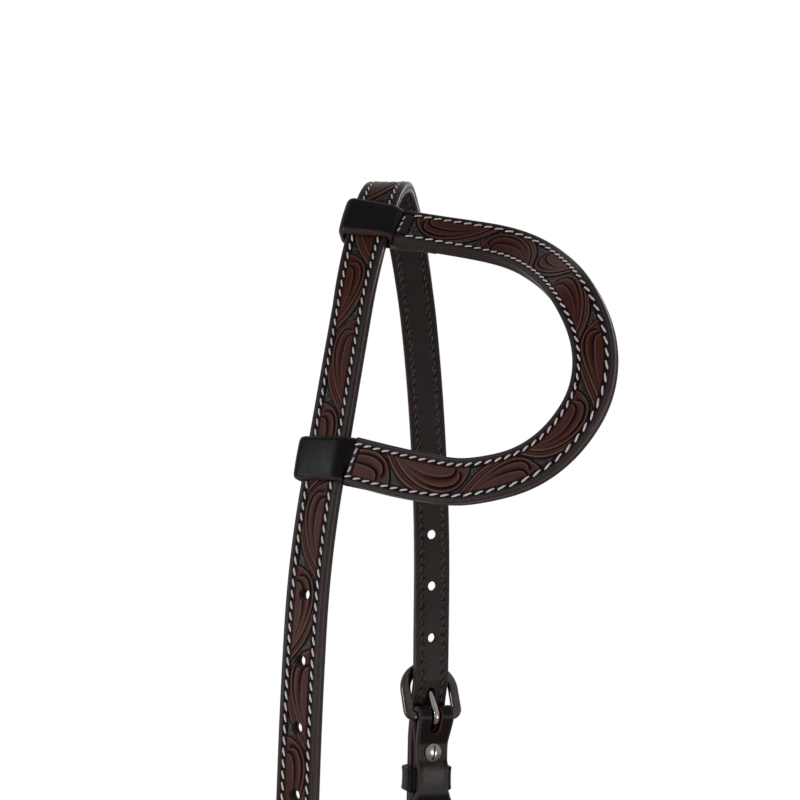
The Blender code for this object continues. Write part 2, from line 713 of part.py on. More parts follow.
def buckle_tongue(name, frame):
    """A straight shank with a rounded tip, bent round the heel bar into an eye."""
    heel, rest = shank_line()
    slope = Vector((rest[0] - heel[0], rest[1] - heel[1])).normalized()
    tip = Vector(heel) + slope * (TONGUE_LENGTH - heel[0]) / slope[0]
    points = [(tip, TONGUE_TIP_SHARE), (tip - slope * TONGUE_HALF_THICK, TONGUE_NOSE_SHARE)]
    points += [(Vector(heel).lerp(tip, share), 1.0) for share in SHANK_SHARES]
    start = math.atan2(heel[1], heel[0])
    mouth = 2 * TONGUE_HALF_THICK + TONGUE_MOUTH
    end = start + math.acos(1 - mouth / HOOK_RADIUS) - 2 * math.pi
    points += [(Vector(point), 1.0) for point in arc((0, 0), HOOK_RADIUS, start, end, 11)]
    sides = 8
    rings = []
    for i, (point, share) in enumerate(points):
        back, ahead = points[max(0, i - 1)][0], points[min(len(points) - 1, i + 1)][0]
        along = (ahead - back).normalized()
        ring = []
        for k in range(sides):
            angle = 2 * math.pi * (k + 0.5) / sides
            reach = TONGUE_HALF_THICK * share * math.sin(angle)
            ring.append(frame @ Vector((TONGUE_HALF_WIDTH * share * math.cos(angle),
                                        point[0] - along[1] * reach, point[1] + along[0] * reach)))
        rings.append(ring)
    add_piece(name, STEEL, loft(rings), frame)


def box_outline(half, low, high, ease):
    return [(-half + ease, high), (half - ease, high), (half, high - ease), (half, low + ease),
            (half - ease, low), (-half + ease, low), (-half, low + ease), (-half, high - ease)]


def keeper(name, route):
    """A band round the crown strap and the cheek's outer layer; its inner wall lies over the tail."""
    low = FACE_TOP - LAYER_THICK - PLAY
    high = BAR_RISE + HEAD_RISE + HALF_STRAP + PLAY
    inner = box_outline(KEEPER_HALF, low, high, KEEPER_ROUND / 2)
    outer = box_outline(KEEPER_HALF + KEEPER_WALL, low - KEEPER_INNER_WALL, high + KEEPER_WALL, KEEPER_ROUND)
    frame = route.upright(route.bar + KEEPER_AT)
    half = KEEPER_LENGTH / 2
    loops = ((outer, -half), (outer, half), (inner, half), (inner, -half))
    rings = [[frame @ Vector((x, y, z)) for x, z in outline] for outline, y in loops]
    add_piece(name, BLACK, hoop(rings), frame)


def screw_pair(side, end, place, route, below):
    """A flat-headed post from the outer side, and the screw that turns into it from the inner side."""
    frame = route.upright(route.bar + below)
    seat = FACE_TOP + PLAY
    barrel_end = TAIL_MID - LAYER_THICK / 2
    top = seat + HEAD_THICK
    post = ((0, top), (HEAD_RADIUS - HEAD_ROUND, top), (HEAD_RADIUS, top - HEAD_ROUND), (HEAD_RADIUS, seat),
            (BARREL_RADIUS, seat), (BARREL_RADIUS, barrel_end), (BORE_RADIUS, barrel_end),
            (BORE_RADIUS, seat), (0, seat))
    head = barrel_end - PLAY
    dome = [(HEAD_RADIUS * wide, head - SCREW_DOME * high) for wide, high in DOME_SHARES]
    screw = [*dome, (HEAD_RADIUS, head), (SHANK_RADIUS, head), (SHANK_RADIUS, seat - 2 * PLAY),
             (0, seat - 2 * PLAY)]
    name = "_".join((side, place, end))
    add_piece(name + "_post", SCREW_STEEL, turned(post, frame), frame)
    add_piece(name + "_screw", SCREW_STEEL, turned(screw, frame), frame)


def add_side(side, route):
    add_cheek(side, route)
    heel = route.upright(route.bar, BAR_OUT) @ Matrix.Rotation(FRAME_LEAN, 4, "X")
    buckle_frame(side + "_buckle_frame", heel)
    buckle_tongue(side + "_buckle_tongue", heel)
    keeper(side + "_keeper", route)
    names = (("buckle_end", "upper"), ("buckle_end", "lower"), ("bit_end", "upper"), ("bit_end", "lower"))
    for (end, place), below in zip(names, SCREW_STATIONS):
        screw_pair(side, end, place, route, below)


clear_scene()
RIGHT = Route(-1, RIGHT_RUN_SHARES, RIGHT_BENDS, RIGHT_TWISTS, RIGHT_SWEEPS, RIGHT_TONGUE_HOLE)
LEFT = Route(1, LEFT_RUN_SHARES, LEFT_BENDS, LEFT_TWISTS, LEFT_SWEEPS, LEFT_TONGUE_HOLE)
SIDES = (("right", RIGHT), ("left", LEFT))
HOLES = crown_holes()
crown_layer("crown_tooled_layer", TOOLED, LAYER_FACES["tooled"], HOLES)
crown_layer("crown_lining", LINING, LAYER_FACES["lining"], HOLES)
add_ear()
for side_name, side_route in SIDES:
    add_side(side_name, side_route)
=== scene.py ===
"""A western headstall in finished leather: carved, stitched and burnished, with dark steel buckles."""

import math
from bisect import bisect_right

import bpy
import numpy as np
from mathutils import Matrix, Quaternion, Vector


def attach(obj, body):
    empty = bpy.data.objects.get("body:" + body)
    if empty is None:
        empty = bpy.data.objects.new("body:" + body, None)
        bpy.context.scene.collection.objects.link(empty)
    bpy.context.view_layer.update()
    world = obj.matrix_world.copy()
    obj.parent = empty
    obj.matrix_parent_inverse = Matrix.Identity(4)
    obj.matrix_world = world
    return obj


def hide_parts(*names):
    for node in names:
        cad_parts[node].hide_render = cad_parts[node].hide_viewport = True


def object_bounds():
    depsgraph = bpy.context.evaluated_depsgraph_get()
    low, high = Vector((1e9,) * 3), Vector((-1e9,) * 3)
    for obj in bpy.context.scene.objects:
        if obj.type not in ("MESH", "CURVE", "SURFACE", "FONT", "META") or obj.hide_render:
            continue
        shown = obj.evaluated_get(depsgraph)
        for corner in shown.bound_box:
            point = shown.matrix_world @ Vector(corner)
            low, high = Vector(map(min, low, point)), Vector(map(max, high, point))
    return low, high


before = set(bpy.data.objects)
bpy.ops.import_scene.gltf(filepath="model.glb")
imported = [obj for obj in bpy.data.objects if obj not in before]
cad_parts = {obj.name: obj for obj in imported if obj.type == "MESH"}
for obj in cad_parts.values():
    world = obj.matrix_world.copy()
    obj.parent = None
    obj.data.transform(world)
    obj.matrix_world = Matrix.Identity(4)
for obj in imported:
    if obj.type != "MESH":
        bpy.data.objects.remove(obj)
cad_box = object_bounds()

MM = 0.001

# Leather
STRAP_WIDTH = 0.01905
LAYER_THICK = 0.0026
PLAY = 0.0003
STRAP_THICK = 2 * LAYER_THICK + PLAY
HALF_STRAP = STRAP_THICK / 2

# The crown strap's route, from its top down each side
CROWN_DROP = 0.2186
CROWN_SHIFT = 0.002
APEX_YAW = math.radians(-9.96)
APEX_LEAN = math.radians(3.8)
RIGHT_RUN_SHARES = (0.152, 0.253, 0.403, 0.265, 0.274)
RIGHT_BENDS = (50.4, 18.8, 2.4, 11.2, 2.5)
RIGHT_TWISTS = (-13.0, 25.9, 0.0, 0.0, 0.0)
RIGHT_SWEEPS = (0.0, 0.0, -1.1, 0.0, 0.0)
LEFT_RUN_SHARES = (0.066, 0.353, 0.381, 0.364, 0.206)
LEFT_BENDS = (32.6, 30.2, 26.8, 4.9, 0.0)
LEFT_TWISTS = (1.7, -17.3, -1.9, -8.8, -9.6)
LEFT_SWEEPS = (0.0, 3.2, 5.7, 4.8, 0.0)
ROUTE_STEP = 0.0006
HANG_START = 0.064
HANG_TURN = 0.075
HANG_END = 0.24

# Tongue holes and the crown's two tips
HOLE_COUNT = 7
HOLE_PITCH = 0.028
HOLE_RADIUS = 0.0026
TIP_MARGIN = 0.024
TIP_POINT = 0.012
RIGHT_TONGUE_HOLE = 4
LEFT_TONGUE_HOLE = 3

# Buckle
BAR_RADIUS = 0.0025
FRAME_REACH = 0.0271
FRAME_HALF_WIDTH = 0.0141
FRAME_CORNER = 0.0034
FRAME_SIDE_HALF = 0.0029
FRAME_THICK_HALF = 0.0019
FRAME_TOP_OUT = 0.0069
FOLD_PLAY = 0.0003
TONGUE_HALF_WIDTH = 0.0017
TONGUE_HALF_THICK = 0.0013
TONGUE_LENGTH = 0.0297
TONGUE_MOUTH = 0.0006
TONGUE_HOLE_SIDE_PLAY = 0.0009
TONGUE_HOLE_SWING_PLAY = 0.0020
BAR_RISE_RUN = 0.022
HEAD_RISE_RUN = 0.0135

# Cheek
CHEEK_FACE_MID = -0.0003
CHEEK_LENGTH = 0.185
FOLD_WIDTH = 0.0204
NECK_WIDTH = 0.0180
FLARE_WIDTH = 0.0340
BIT_WIDTH = 0.0190
NECK_AT = 0.020
FLARE_START = 0.0380
FLARE_FULL = 0.0560
FLARE_END = 0.074
BIT_TAPER_LENGTH = 0.043
TAIL_OVERLAP = 0.0012
UPPER_TAIL_OVERLAP = 0.0048
TAIL_MEETS = 0.0145
BIT_FOLD_RADIUS = 0.005
BIT_FOLD_LENGTH = 0.014
SLOT_HALF = 0.0031
SLOT_END = 0.0095

# Keeper, screw posts and screws
KEEPER_LENGTH = 0.0128
KEEPER_AT = 0.0341
KEEPER_WALL = 0.0022
KEEPER_INNER_WALL = 0.0016
KEEPER_HALF = 0.0107
KEEPER_SLIDE = 0.0018
RAMP_LENGTH = 0.0026
FIRST_SCREW_AT = 0.0196
SECOND_SCREW_AT = 0.0504
BIT_SCREW_LENGTH = 0.0220
BIT_SCREW_PITCH = 0.0130
HEAD_RADIUS = 0.00475
HEAD_THICK = 0.0012
BARREL_RADIUS = 0.0025
SCREW_DOME = 0.0018
POST_HOLE_RADIUS = 0.0028

# Ear piece and its two loops
EAR_WIDTH = 0.0208
EAR_SIDE_WIDTH = 0.0182
EAR_JOIN = 0.0136
EAR_REACH = 0.1195
UPPER_JOIN_AT = 0.0437
LOWER_JOIN_AT = 0.1615
EAR_TILT = math.radians(9.5)
EAR_TILT_FADE_SHARE = 0.45
EAR_STEPS = 900
LOOP_LENGTH = 0.0195
LOOP_WALL = 0.0027
LOOP_PLAY_WIDE = 0.0013
LOOP_PLAY_THICK = 0.0011
LOOP_TAIL = 0.0205
EAR_REACH_SHARES = (0.0, 0.164, 0.344, 0.466, 0.580, 0.703, 0.841, 0.902, 0.961,
                    1.004, 1.008, 0.973, 0.883, 0.745, 0.551, 0.452, 0.224, 0.0)
EAR_SPAN_SHARES = (0.0, 0.009, 0.020, 0.038, 0.091, 0.196, 0.340, 0.408, 0.497,
                   0.608, 0.730, 0.828, 0.941, 1.023, 1.064, 1.067, 1.040, 1.0)
EAR_NARROW_SHARES = (0.14, 0.34, 0.72, 0.94)
TIP_END_SHARE = 0.15

FACE_TOP = CHEEK_FACE_MID + LAYER_THICK / 2
TAIL_MID = CHEEK_FACE_MID - LAYER_THICK - PLAY
FOLD_RADIUS = BAR_RADIUS + FOLD_PLAY + LAYER_THICK / 2
BAR_OUT = CHEEK_FACE_MID - FOLD_RADIUS
BAR_RISE = FACE_TOP + PLAY + HALF_STRAP
HEAD_RISE = HEAD_THICK + PLAY
FRAME_LEAN = math.asin((FRAME_TOP_OUT - BAR_OUT) / FRAME_REACH)
HOOK_RADIUS = BAR_RADIUS + PLAY + TONGUE_HALF_THICK
TONGUE_REST = FRAME_THICK_HALF + PLAY + TONGUE_HALF_THICK
BIT_FOLD_MID = BIT_FOLD_RADIUS + LAYER_THICK / 2
BIT_FOLD_MEETS = CHEEK_LENGTH - BIT_FOLD_LENGTH
TAPER_END = CHEEK_LENGTH - BIT_TAPER_LENGTH
LAST_SCREW_AT = CHEEK_LENGTH - BIT_SCREW_LENGTH
THIRD_SCREW_AT = LAST_SCREW_AT - BIT_SCREW_PITCH
SCREW_STATIONS = (FIRST_SCREW_AT, SECOND_SCREW_AT, THIRD_SCREW_AT, LAST_SCREW_AT)
UPPER_TAIL_END = SECOND_SCREW_AT + POST_HOLE_RADIUS + UPPER_TAIL_OVERLAP
LOWER_TAIL_END = THIRD_SCREW_AT - POST_HOLE_RADIUS - TAIL_OVERLAP

# Finish of the leather
STITCH_INSET = 3.35 * MM
EAR_STITCH_INSET = 3.1 * MM
STITCH_PITCH = 4.75 * MM
STITCH_LENGTH = 3.6 * MM
STITCH_RADIUS = 0.41 * MM
BACK_STITCH_RADIUS = STITCH_RADIUS * 0.8
STITCH_SLANT = math.radians(17)
STITCH_ROWS = 9
STITCH_SIDES = 8
STITCH_DIP = 0.85
STITCH_END_THIN = 0.55
STITCH_FLAT = 0.9
PLY_SWELL = 0.13
PLY_TWIST = 5.0
BORDER_GAP = 1.15 * MM
EAR_BORDER_GAP = BORDER_GAP * 0.8
TOP_ROUND = 0.9 * MM
SEAM_ROUND = 0.3 * MM

# Points across a face, and steps between rows along it
CROWN_ACROSS = 48
EAR_ACROSS = 72
CHEEK_ACROSS = 60
BACK_ACROSS = 41
CROWN_STEPS = (0.425 * MM, 0.70 * MM)
CROWN_BACK_STEPS = (0.75 * MM, 0.50 * MM)
EAR_STEP = 0.30 * MM
EAR_BACK_STEP = 0.5 * MM
CHEEK_STEP = 0.4 * MM
CHEEK_BACK_STEP = 0.8 * MM

# Lines worked into the leather: how wide, how deep, and how far from the edge
BORDER_WIDE = 0.30 * MM
BORDER_DEEP = 0.22 * MM
GROOVE_WIDE = 0.70 * MM
GROOVE_DEEP = 0.26 * MM
PIT_LONG = 0.55 * MM
PIT_WIDE = 0.50 * MM
PIT_DEEP = 0.35 * MM
CREASE_AT = 1.35 * MM
CREASE_WIDE = 0.22 * MM
CREASE_DEEP = 0.10 * MM
BACK_GROOVE_WIDE = 0.6 * MM
BACK_GROOVE_DEEP = 0.16 * MM
BACK_CREASE_AT = 1.3 * MM
BACK_CREASE_WIDE = 0.3 * MM
BACK_CREASE_DEEP = 0.05 * MM
SPECK_DEEP = 0.06 * MM
BURNISH_REACH = 1.75 * MM
BURNISH_FADE = 0.6 * MM
BACK_BURNISH_FADE = 0.8 * MM
BURNISHED_EDGE = (0.0, 0.0, 1.0, 0.0)


def smooth(share):
    share = np.clip(share, 0.0, 1.0)
    return share * share * (3 - 2 * share)


def blend(low, high, share):
    return low + (high - low) * share


def bell(gap, wide):
    """From 1 at no distance down to 0 well beyond the width."""
    return np.exp(-(gap / wide) ** 2)


def unit(rows):
    """Each row at a length of one."""
    return rows / np.linalg.norm(rows, axis=1)[:, None]


class Route:
    """The strap's outer face along one side: a frame with X forward, Z outward, at each station."""

    def __init__(self, down, shares, bends, twists, sweeps, tongue_hole):
        self.down = down
        self.tongue_hole = tongue_hole
        self.first_hole = CROWN_DROP - down * CROWN_SHIFT
        self.bar = self.hole(tongue_hole) + tongue_crossing()
        self.tip = self.hole(HOLE_COUNT - 1) + TIP_MARGIN
        turn = Quaternion((1, 0, 0), APEX_LEAN) @ Quaternion((0, 0, 1), APEX_YAW)
        self.stations = [0.0]
        self.places = [turn @ Vector((0, 0, STRAP_THICK))]
        self.turns = [turn]
        for share, bend, twist, sweep in zip(shares, bends, twists, sweeps):
            length = share * CROWN_DROP
            steps = max(1, round(length / ROUTE_STEP))
            half = (Quaternion((1, 0, 0), -down * math.radians(bend) / steps / 2)
                    @ Quaternion((0, 1, 0), down * math.radians(twist) / steps / 2)
                    @ Quaternion((0, 0, 1), math.radians(sweep) / steps / 2))
            for _ in range(steps):
                self.advance(length / steps, half)
        still = Quaternion()
        self.advance(self.bar + HANG_START - self.stations[-1], still)
        plumb = Matrix(((1, 0, 0), (0, 0, down), (0, -down, 0))).to_quaternion()
        first = self.turns[-1].copy()
        steps = round(HANG_TURN / ROUTE_STEP)
        for i in range(steps):
            middle = first.slerp(plumb, float(smooth((i + 0.5) / steps)))
            after = first.slerp(plumb, float(smooth((i + 1) / steps)))
            self.turns[-1] = middle
            self.advance(HANG_TURN / steps, still)
            self.turns[-1] = after
        self.advance(self.bar + HANG_END - self.stations[-1], still)

    def hole(self, index):
        return self.first_hole + index * HOLE_PITCH

    def advance(self, length, half):
        turn = self.turns[-1] @ half
        place = self.places[-1] + turn @ Vector((0, self.down * length, 0))
        self.stations.append(self.stations[-1] + length)
        self.places.append(place)
        self.turns.append((turn @ half).normalized())

    def at(self, station):
        """Place and turn of the outer face at one station."""
        low = min(len(self.stations) - 2, max(0, bisect_right(self.stations, station) - 1))
        share = (station - self.stations[low]) / (self.stations[low + 1] - self.stations[low])
        place = self.places[low].lerp(self.places[low + 1], share)
        turn = self.turns[low].slerp(self.turns[low + 1], min(1.0, max(0.0, share)))
        return place, turn

    def frames(self, stations):
        """Mid-strap places, forward axes and outward axes at many stations."""
        rows = []
        for station in stations:
            place, turn = self.at(float(station))
            outward = turn @ Vector((0, 0, 1))
            rows.append((*(place - outward * HALF_STRAP), *(turn @ Vector((1, 0, 0))), *outward))
        rows = np.array(rows)
        return rows[:, 0:3], rows[:, 3:6], rows[:, 6:9]

    def spot(self, station, forward, out):
        place, turn = self.at(station)
        return place + turn @ Vector((forward, 0, out - HALF_STRAP))

    def upright(self, station, out=0.0):
        """A frame with Y up the strap and Z outward."""
        turn = self.at(station)[1]
        if self.down > 0:
            turn = turn @ Quaternion((0, 0, 1), math.pi)
        return Matrix.Translation(self.spot(station, 0, out)) @ turn.to_matrix().to_4x4()


def crown_out(below):
    """How far out mid-strap lies, this far below the heel bar."""
    return BAR_RISE * smooth(1 + below / BAR_RISE_RUN) + HEAD_RISE * smooth(below / HEAD_RISE_RUN)


def tangent_angle(centre, radius, point, side):
    """The direction from a circle's centre to where a line from the point touches it."""
    along, out = point[0] - centre[0], point[1] - centre[1]
    return math.atan2(out, along) + side * math.acos(radius / math.hypot(along, out))


def shank_line():
    """Where the tongue's shank leaves its eye, and its rest on the top bar: each up the frame and out."""
    rest = (FRAME_REACH, TONGUE_REST)
    angle = tangent_angle((0, 0), HOOK_RADIUS, rest, -1)
    return (HOOK_RADIUS * math.cos(angle), HOOK_RADIUS * math.sin(angle)), rest


def tongue_spot(along, out):
    """A point of the leaning buckle, as its height above the bar and its distance out."""
    return (along * math.cos(FRAME_LEAN) - out * math.sin(FRAME_LEAN),
            BAR_OUT + along * math.sin(FRAME_LEAN) + out * math.cos(FRAME_LEAN))


def tongue_crossing():
    """How far above the heel bar the tongue passes through mid-strap."""
    heel, rest = shank_line()
    low, high = 0.0, 1.0
    for _ in range(40):
        share = (low + high) / 2
        up, out = tongue_spot(blend(heel[0], rest[0], share), blend(heel[1], rest[1], share))
        if out < crown_out(-up):
            low = share
        else:
            high = share
    return up


def arc(centre, radius, start, end, count):
    angles = [blend(start, end, i / count) for i in range(count + 1)]
    return [(centre[0] + radius * math.cos(a), centre[1] + radius * math.sin(a)) for a in angles]


def through(points, per_span):
    """A smooth line through points, with this many steps between each two."""
    points = np.asarray(points, float)
    padded = np.concatenate([2 * points[:1] - points[1:2], points, 2 * points[-1:] - points[-2:-1]])
    a, b, c, d = padded[:-3, None], padded[1:-2, None], padded[2:-1, None], padded[3:, None]
    t = (np.arange(per_span) / per_span)[None, :, None]
    line = 0.5 * (2 * b + (c - a) * t + (2 * a - 5 * b + 4 * c - d) * t ** 2
                  + (3 * b - 3 * c + d - a) * t ** 3)
    return np.concatenate([line.reshape(-1, points.shape[1]), points[-1:]])


def reaches(line):
    """How far along a line each of its points lies."""
    return np.concatenate([[0.0], np.cumsum(np.linalg.norm(np.diff(line, axis=0), axis=1))])


def sampled(rows, reach, wanted):
    """The rows at the wanted reaches, between those given."""
    return np.stack([np.interp(wanted, reach, column) for column in rows.T], 1)


def evenly(line, step):
    """The same line with evenly spaced points."""
    line = np.asarray(line, float)
    reach = reaches(line)
    count = max(2, round(reach[-1] / step) + 1)
    return sampled(line, reach, np.linspace(0, reach[-1], count))


def averaged(padded, shares):
    """Each row as the sum of its neighbours by these shares."""
    return np.stack([np.convolve(column, shares, "valid") for column in padded.T], 1)


def softened(line, reach):
    """The same line with its corners eased over this many points; its ends stay."""
    shares = np.exp(-0.5 * (np.arange(-2 * reach, 2 * reach + 1) / reach) ** 2)
    before = 2 * line[:1] - line[1:2 * reach + 1][::-1]
    after = 2 * line[-1:] - line[-2 * reach - 1:-1][::-1]
    return averaged(np.concatenate([before, line, after]), shares / shares.sum())


def held(rows, steps):
    """The rows with their first and last repeated this many times."""
    return np.concatenate([np.repeat(rows[:1], steps, 0), rows, np.repeat(rows[-1:], steps, 0)])


def eased(rows, steps):
    """The rows averaged over a bell of this many steps to each side."""
    window = np.hanning(2 * steps + 3)[1:-1]
    return averaged(held(rows, steps), window / window.sum())


# Meshes


def placed(name, data):
    """A new object in the scene."""
    made = bpy.data.objects.new(name, data)
    bpy.context.scene.collection.objects.link(made)
    return made


def new_mesh(name, points, faces, material):
    mesh = bpy.data.meshes.new(name)
    mesh.from_pydata(np.asarray(points).tolist(), [], faces)
    mesh.materials.append(material)
    mesh.shade_smooth()
    return mesh


def add_mesh(name, points, faces, material, body, work=None, sharp=None):
    """Makes a piece from points and faces in the row frame, and lets it ride on a body."""
    mesh = new_mesh(name, points, faces, material)
    if work is not None:
        layer = mesh.color_attributes.new("work", "FLOAT_COLOR", "POINT")
        layer.data.foreach_set("color", np.asarray(work, np.float32).ravel())
    if sharp:
        mesh.set_sharp_from_angle(angle=math.radians(sharp))
    piece = placed(name, mesh)
    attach(piece, body)
    return piece


def tube(rings, looped=False):
    """Points and outward faces of a closed body through rings; open ends are closed with fans."""
    rings = np.asarray(rings, float)
    rows, columns = rings.shape[:2]
    points = rings.reshape(-1, 3)
    i = np.arange(rows if looped else rows - 1)[:, None]
    j = np.arange(columns)[None, :]
    after, beside = (i + 1) % rows, (j + 1) % columns
    quads = (i * columns + j, i * columns + beside, after * columns + beside, after * columns + j)
    faces = [tuple(quad) for quad in np.stack(quads, -1).reshape(-1, 4).tolist()]
    if not looped:
        points = np.concatenate([points, rings[0].mean(0)[None], rings[-1].mean(0)[None]])
        near, far = rows * columns, rows * columns + 1
        last = (rows - 1) * columns
        for j in range(columns):
            k = (j + 1) % columns
            faces += [(k, j, near), (last + j, last + k, far)]
    halves = [face[:3] for face in faces] + [(f[0], f[2], f[3]) for f in faces if len(f) == 4]
    a, b, c = (points[np.array(halves)[:, n]] - points.mean(0) for n in range(3))
    if np.einsum("ij,ij->i", np.cross(a, b), c).sum() < 0:
        faces = [face[::-1] for face in faces]
    return points, faces


def joined(parts):
    """Several bodies' points and faces as one set."""
    points, faces, start = [], [], 0
    for some, these in parts:
        points.append(some)
        faces += [tuple(n + start for n in face) for face in these]
        start += len(some)
    return np.concatenate(points), faces


def cut_away(piece, parts, material):
    """Cuts closed bodies out of the piece, and gives the cut walls the material."""
    tool = placed("tool", new_mesh("tool", *joined(parts), material))
    modifier = piece.modifiers.new("Cut", "BOOLEAN")
    modifier.operation = "DIFFERENCE"
    modifier.solver = "EXACT"
    modifier.object = tool
    modifier.material_mode = "TRANSFER"
    graph = bpy.context.evaluated_depsgraph_get()
    result = piece.evaluated_get(graph)
    made = bpy.data.meshes.new_from_object(result, preserve_all_data_layers=True, depsgraph=graph)
    piece.modifiers.clear()
    old = piece.data
    piece.data = made
    bpy.data.meshes.remove(old)
    bpy.data.objects.remove(tool)


def pillar(outline, low, high, place):
    """A closed prism between two heights of a frame."""
    rings = [[place @ Vector((x, y, z)) for x, y in outline] for z in (low, high)]
    return tube(rings)


def circle(radius, sides, squash=1.0):
    angles = [2 * math.pi * (i + 0.5) / sides for i in range(sides)]
    return [(radius * math.cos(a), radius * squash * math.sin(a)) for a in angles]


# Leather carving


class Carving:
    """Leaves carved along a strip, on a fine grid of its length and breadth."""

    PIXEL = 0.15 * MM
    GROUND = 0.42 * MM
    LEAF_BEVEL = 1.3 * MM
    LEAF_ROUND = 1.1 * MM
    LEAF_MARGIN = 1.4 * MM
    RIM_AT = 0.12 * MM
    RIM_WIDE = 0.40 * MM
    # Where the painted highlight along a leaf's edge lies, how strong it is, and how near a newer leaf it is
    # hidden
    LIP_HIGHLIGHT_AT = 0.54 * MM
    LIP_HIGHLIGHT_WIDE = 0.22 * MM
    LIP_HIGHLIGHT = 0.8
    LIP_HIGHLIGHT_HIDDEN = (0.1 * MM, 0.4 * MM)
    CUT_STEEP = 0.35 * MM
    CUT_LINE = (0.30, 0.36)
    CUT_HIGHLIGHT_AT = 0.66 * MM
    CUT_HIGHLIGHT_WIDE = 0.24 * MM
    BEAD_PITCH = 1.16 * MM
    BEAD_ROW = 0.87
    BEAD_SCATTER = 0.13 * MM
    BEAD_RADIUS = 0.54 * MM
    BEAD_RISE = 0.26 * MM
    BEAD_REACH = 4

    def __init__(self, length, field):
        self.length, self.field = length, field
        self.along = np.arange(0, length + self.PIXEL, self.PIXEL)
        self.across = np.arange(-field, field + self.PIXEL, self.PIXEL)
        shape = (len(self.along), len(self.across))
        self.height = np.full(shape, -self.GROUND)
        # dark holds the stain in the cuts and painted shade beside them; painted_highlight holds highlights
        # painted on lips and bead tops
        self.leaf, self.dark, self.painted_highlight = np.zeros(shape), np.zeros(shape), np.zeros(shape)

    def window(self, line, margin):
        """The part of the grid round a line, with each point's distance, side and place along the line."""
        low, high = line.min(0) - margin, line.max(0) + margin
        i0, i1 = np.searchsorted(self.along, (low[0], high[0]))
        j0, j1 = np.searchsorted(self.across, (low[1], high[1]))
        if i1 <= i0 or j1 <= j0:
            return None
        s, u = np.meshgrid(self.along[i0:i1], self.across[j0:j1], indexing="ij")
        gap_s = s.ravel()[:, None] - line[None, :, 0]
        gap_u = u.ravel()[:, None] - line[None, :, 1]
        gap = gap_s ** 2 + gap_u ** 2
        nearest = gap.argmin(1)
        rows = np.arange(len(nearest))
        ahead = np.gradient(line, axis=0)[nearest]
        side = np.sign(ahead[:, 0] * gap_u[rows, nearest] - ahead[:, 1] * gap_s[rows, nearest])
        found = (np.sqrt(gap[rows, nearest]), side, nearest)
        return (slice(i0, i1), slice(j0, j1)), s, u, *(part.reshape(s.shape) for part in found)

    def add_leaf(self, outline, dome):
        """A raised leaf whose edge is bevelled down into whatever lies under it, with painted shade on the
        bevel round it and a painted highlight along its edge.
        """
        found = self.window(outline, self.LEAF_MARGIN)
        if not found:
            return
        place, s, u, gap, _, _ = found
        inside = np.zeros(s.shape, bool)
        for (s0, u0), (s1, u1) in zip(outline, np.roll(outline, -1, 0)):
            if u0 != u1:
                crosses = (u0 > u) != (u1 > u)
                inside ^= crosses & (s < s0 + (u - u0) * (s1 - s0) / (u1 - u0))
        outside = np.where(inside, -gap, gap)
        bevel = -self.GROUND * np.clip(1.1 - outside / self.LEAF_BEVEL, 0, 1)
        raised = -dome * np.clip(1 + outside / self.LEAF_ROUND, 0, 1) ** 2
        self.height[place] = np.where(inside, raised, np.minimum(self.height[place], bevel))
        self.leaf[place] = np.where(inside, 1, self.leaf[place])
        rim = bell(outside - self.RIM_AT, self.RIM_WIDE)
        # painted shade over the bevel that falls away round the leaf
        shade = 0.45 * np.clip(1 - outside / self.LEAF_ROUND, 0, 1)
        self.dark[place] = np.where(inside, rim, np.maximum(self.dark[place], np.maximum(rim, shade)))
        # a painted highlight just inside the leaf's edge; a newer leaf hides older painted highlights beside
        # it
        edge = self.LIP_HIGHLIGHT * bell(outside + self.LIP_HIGHLIGHT_AT, self.LIP_HIGHLIGHT_WIDE)
        near, fade = self.LIP_HIGHLIGHT_HIDDEN
        self.painted_highlight[place] = np.where(inside, edge, self.painted_highlight[place] * smooth((outside - near) / fade))

    def add_cut(self, line, depth, wide, lean):
        """A knife cut that is bevelled down on one side and fades at both ends; its line is stained dark,
        with painted shade on the bevelled side and a painted highlight on the other.
        """
        found = self.window(line, wide)
        if not found:
            return
        place, _, _, gap, side, nearest = found
        share = nearest / (len(line) - 1)
        fade = np.minimum(1, np.minimum(0.25 + share / 0.08, (1 - share) / 0.6))
        toward = side * lean > 0
        gentle, steep = np.clip(1 - gap / wide, 0, 1), np.clip(1 - gap / self.CUT_STEEP, 0, 1)
        slope = np.where(toward, gentle ** 1.3, steep)
        inside = self.leaf[place] > 0.5
        self.height[place] -= np.where(inside, depth * fade * slope, 0)
        thin, grow = self.CUT_LINE
        rim = bell(gap, (thin + grow * fade) * MM) * np.minimum(1, fade * 1.6)
        # painted shade down the bevelled side
        shade = np.where(toward, 0.62 * gentle, 0) * fade
        dark, painted_highlight = self.dark[place], self.painted_highlight[place]
        self.dark[place] = np.where(inside, np.maximum(dark, np.maximum(rim, shade)), dark)
        # a painted highlight along the steep side
        edge = bell(gap - self.CUT_HIGHLIGHT_AT, self.CUT_HIGHLIGHT_WIDE) * fade
        self.painted_highlight[place] = np.where(inside & ~toward, np.maximum(painted_highlight, edge), painted_highlight)

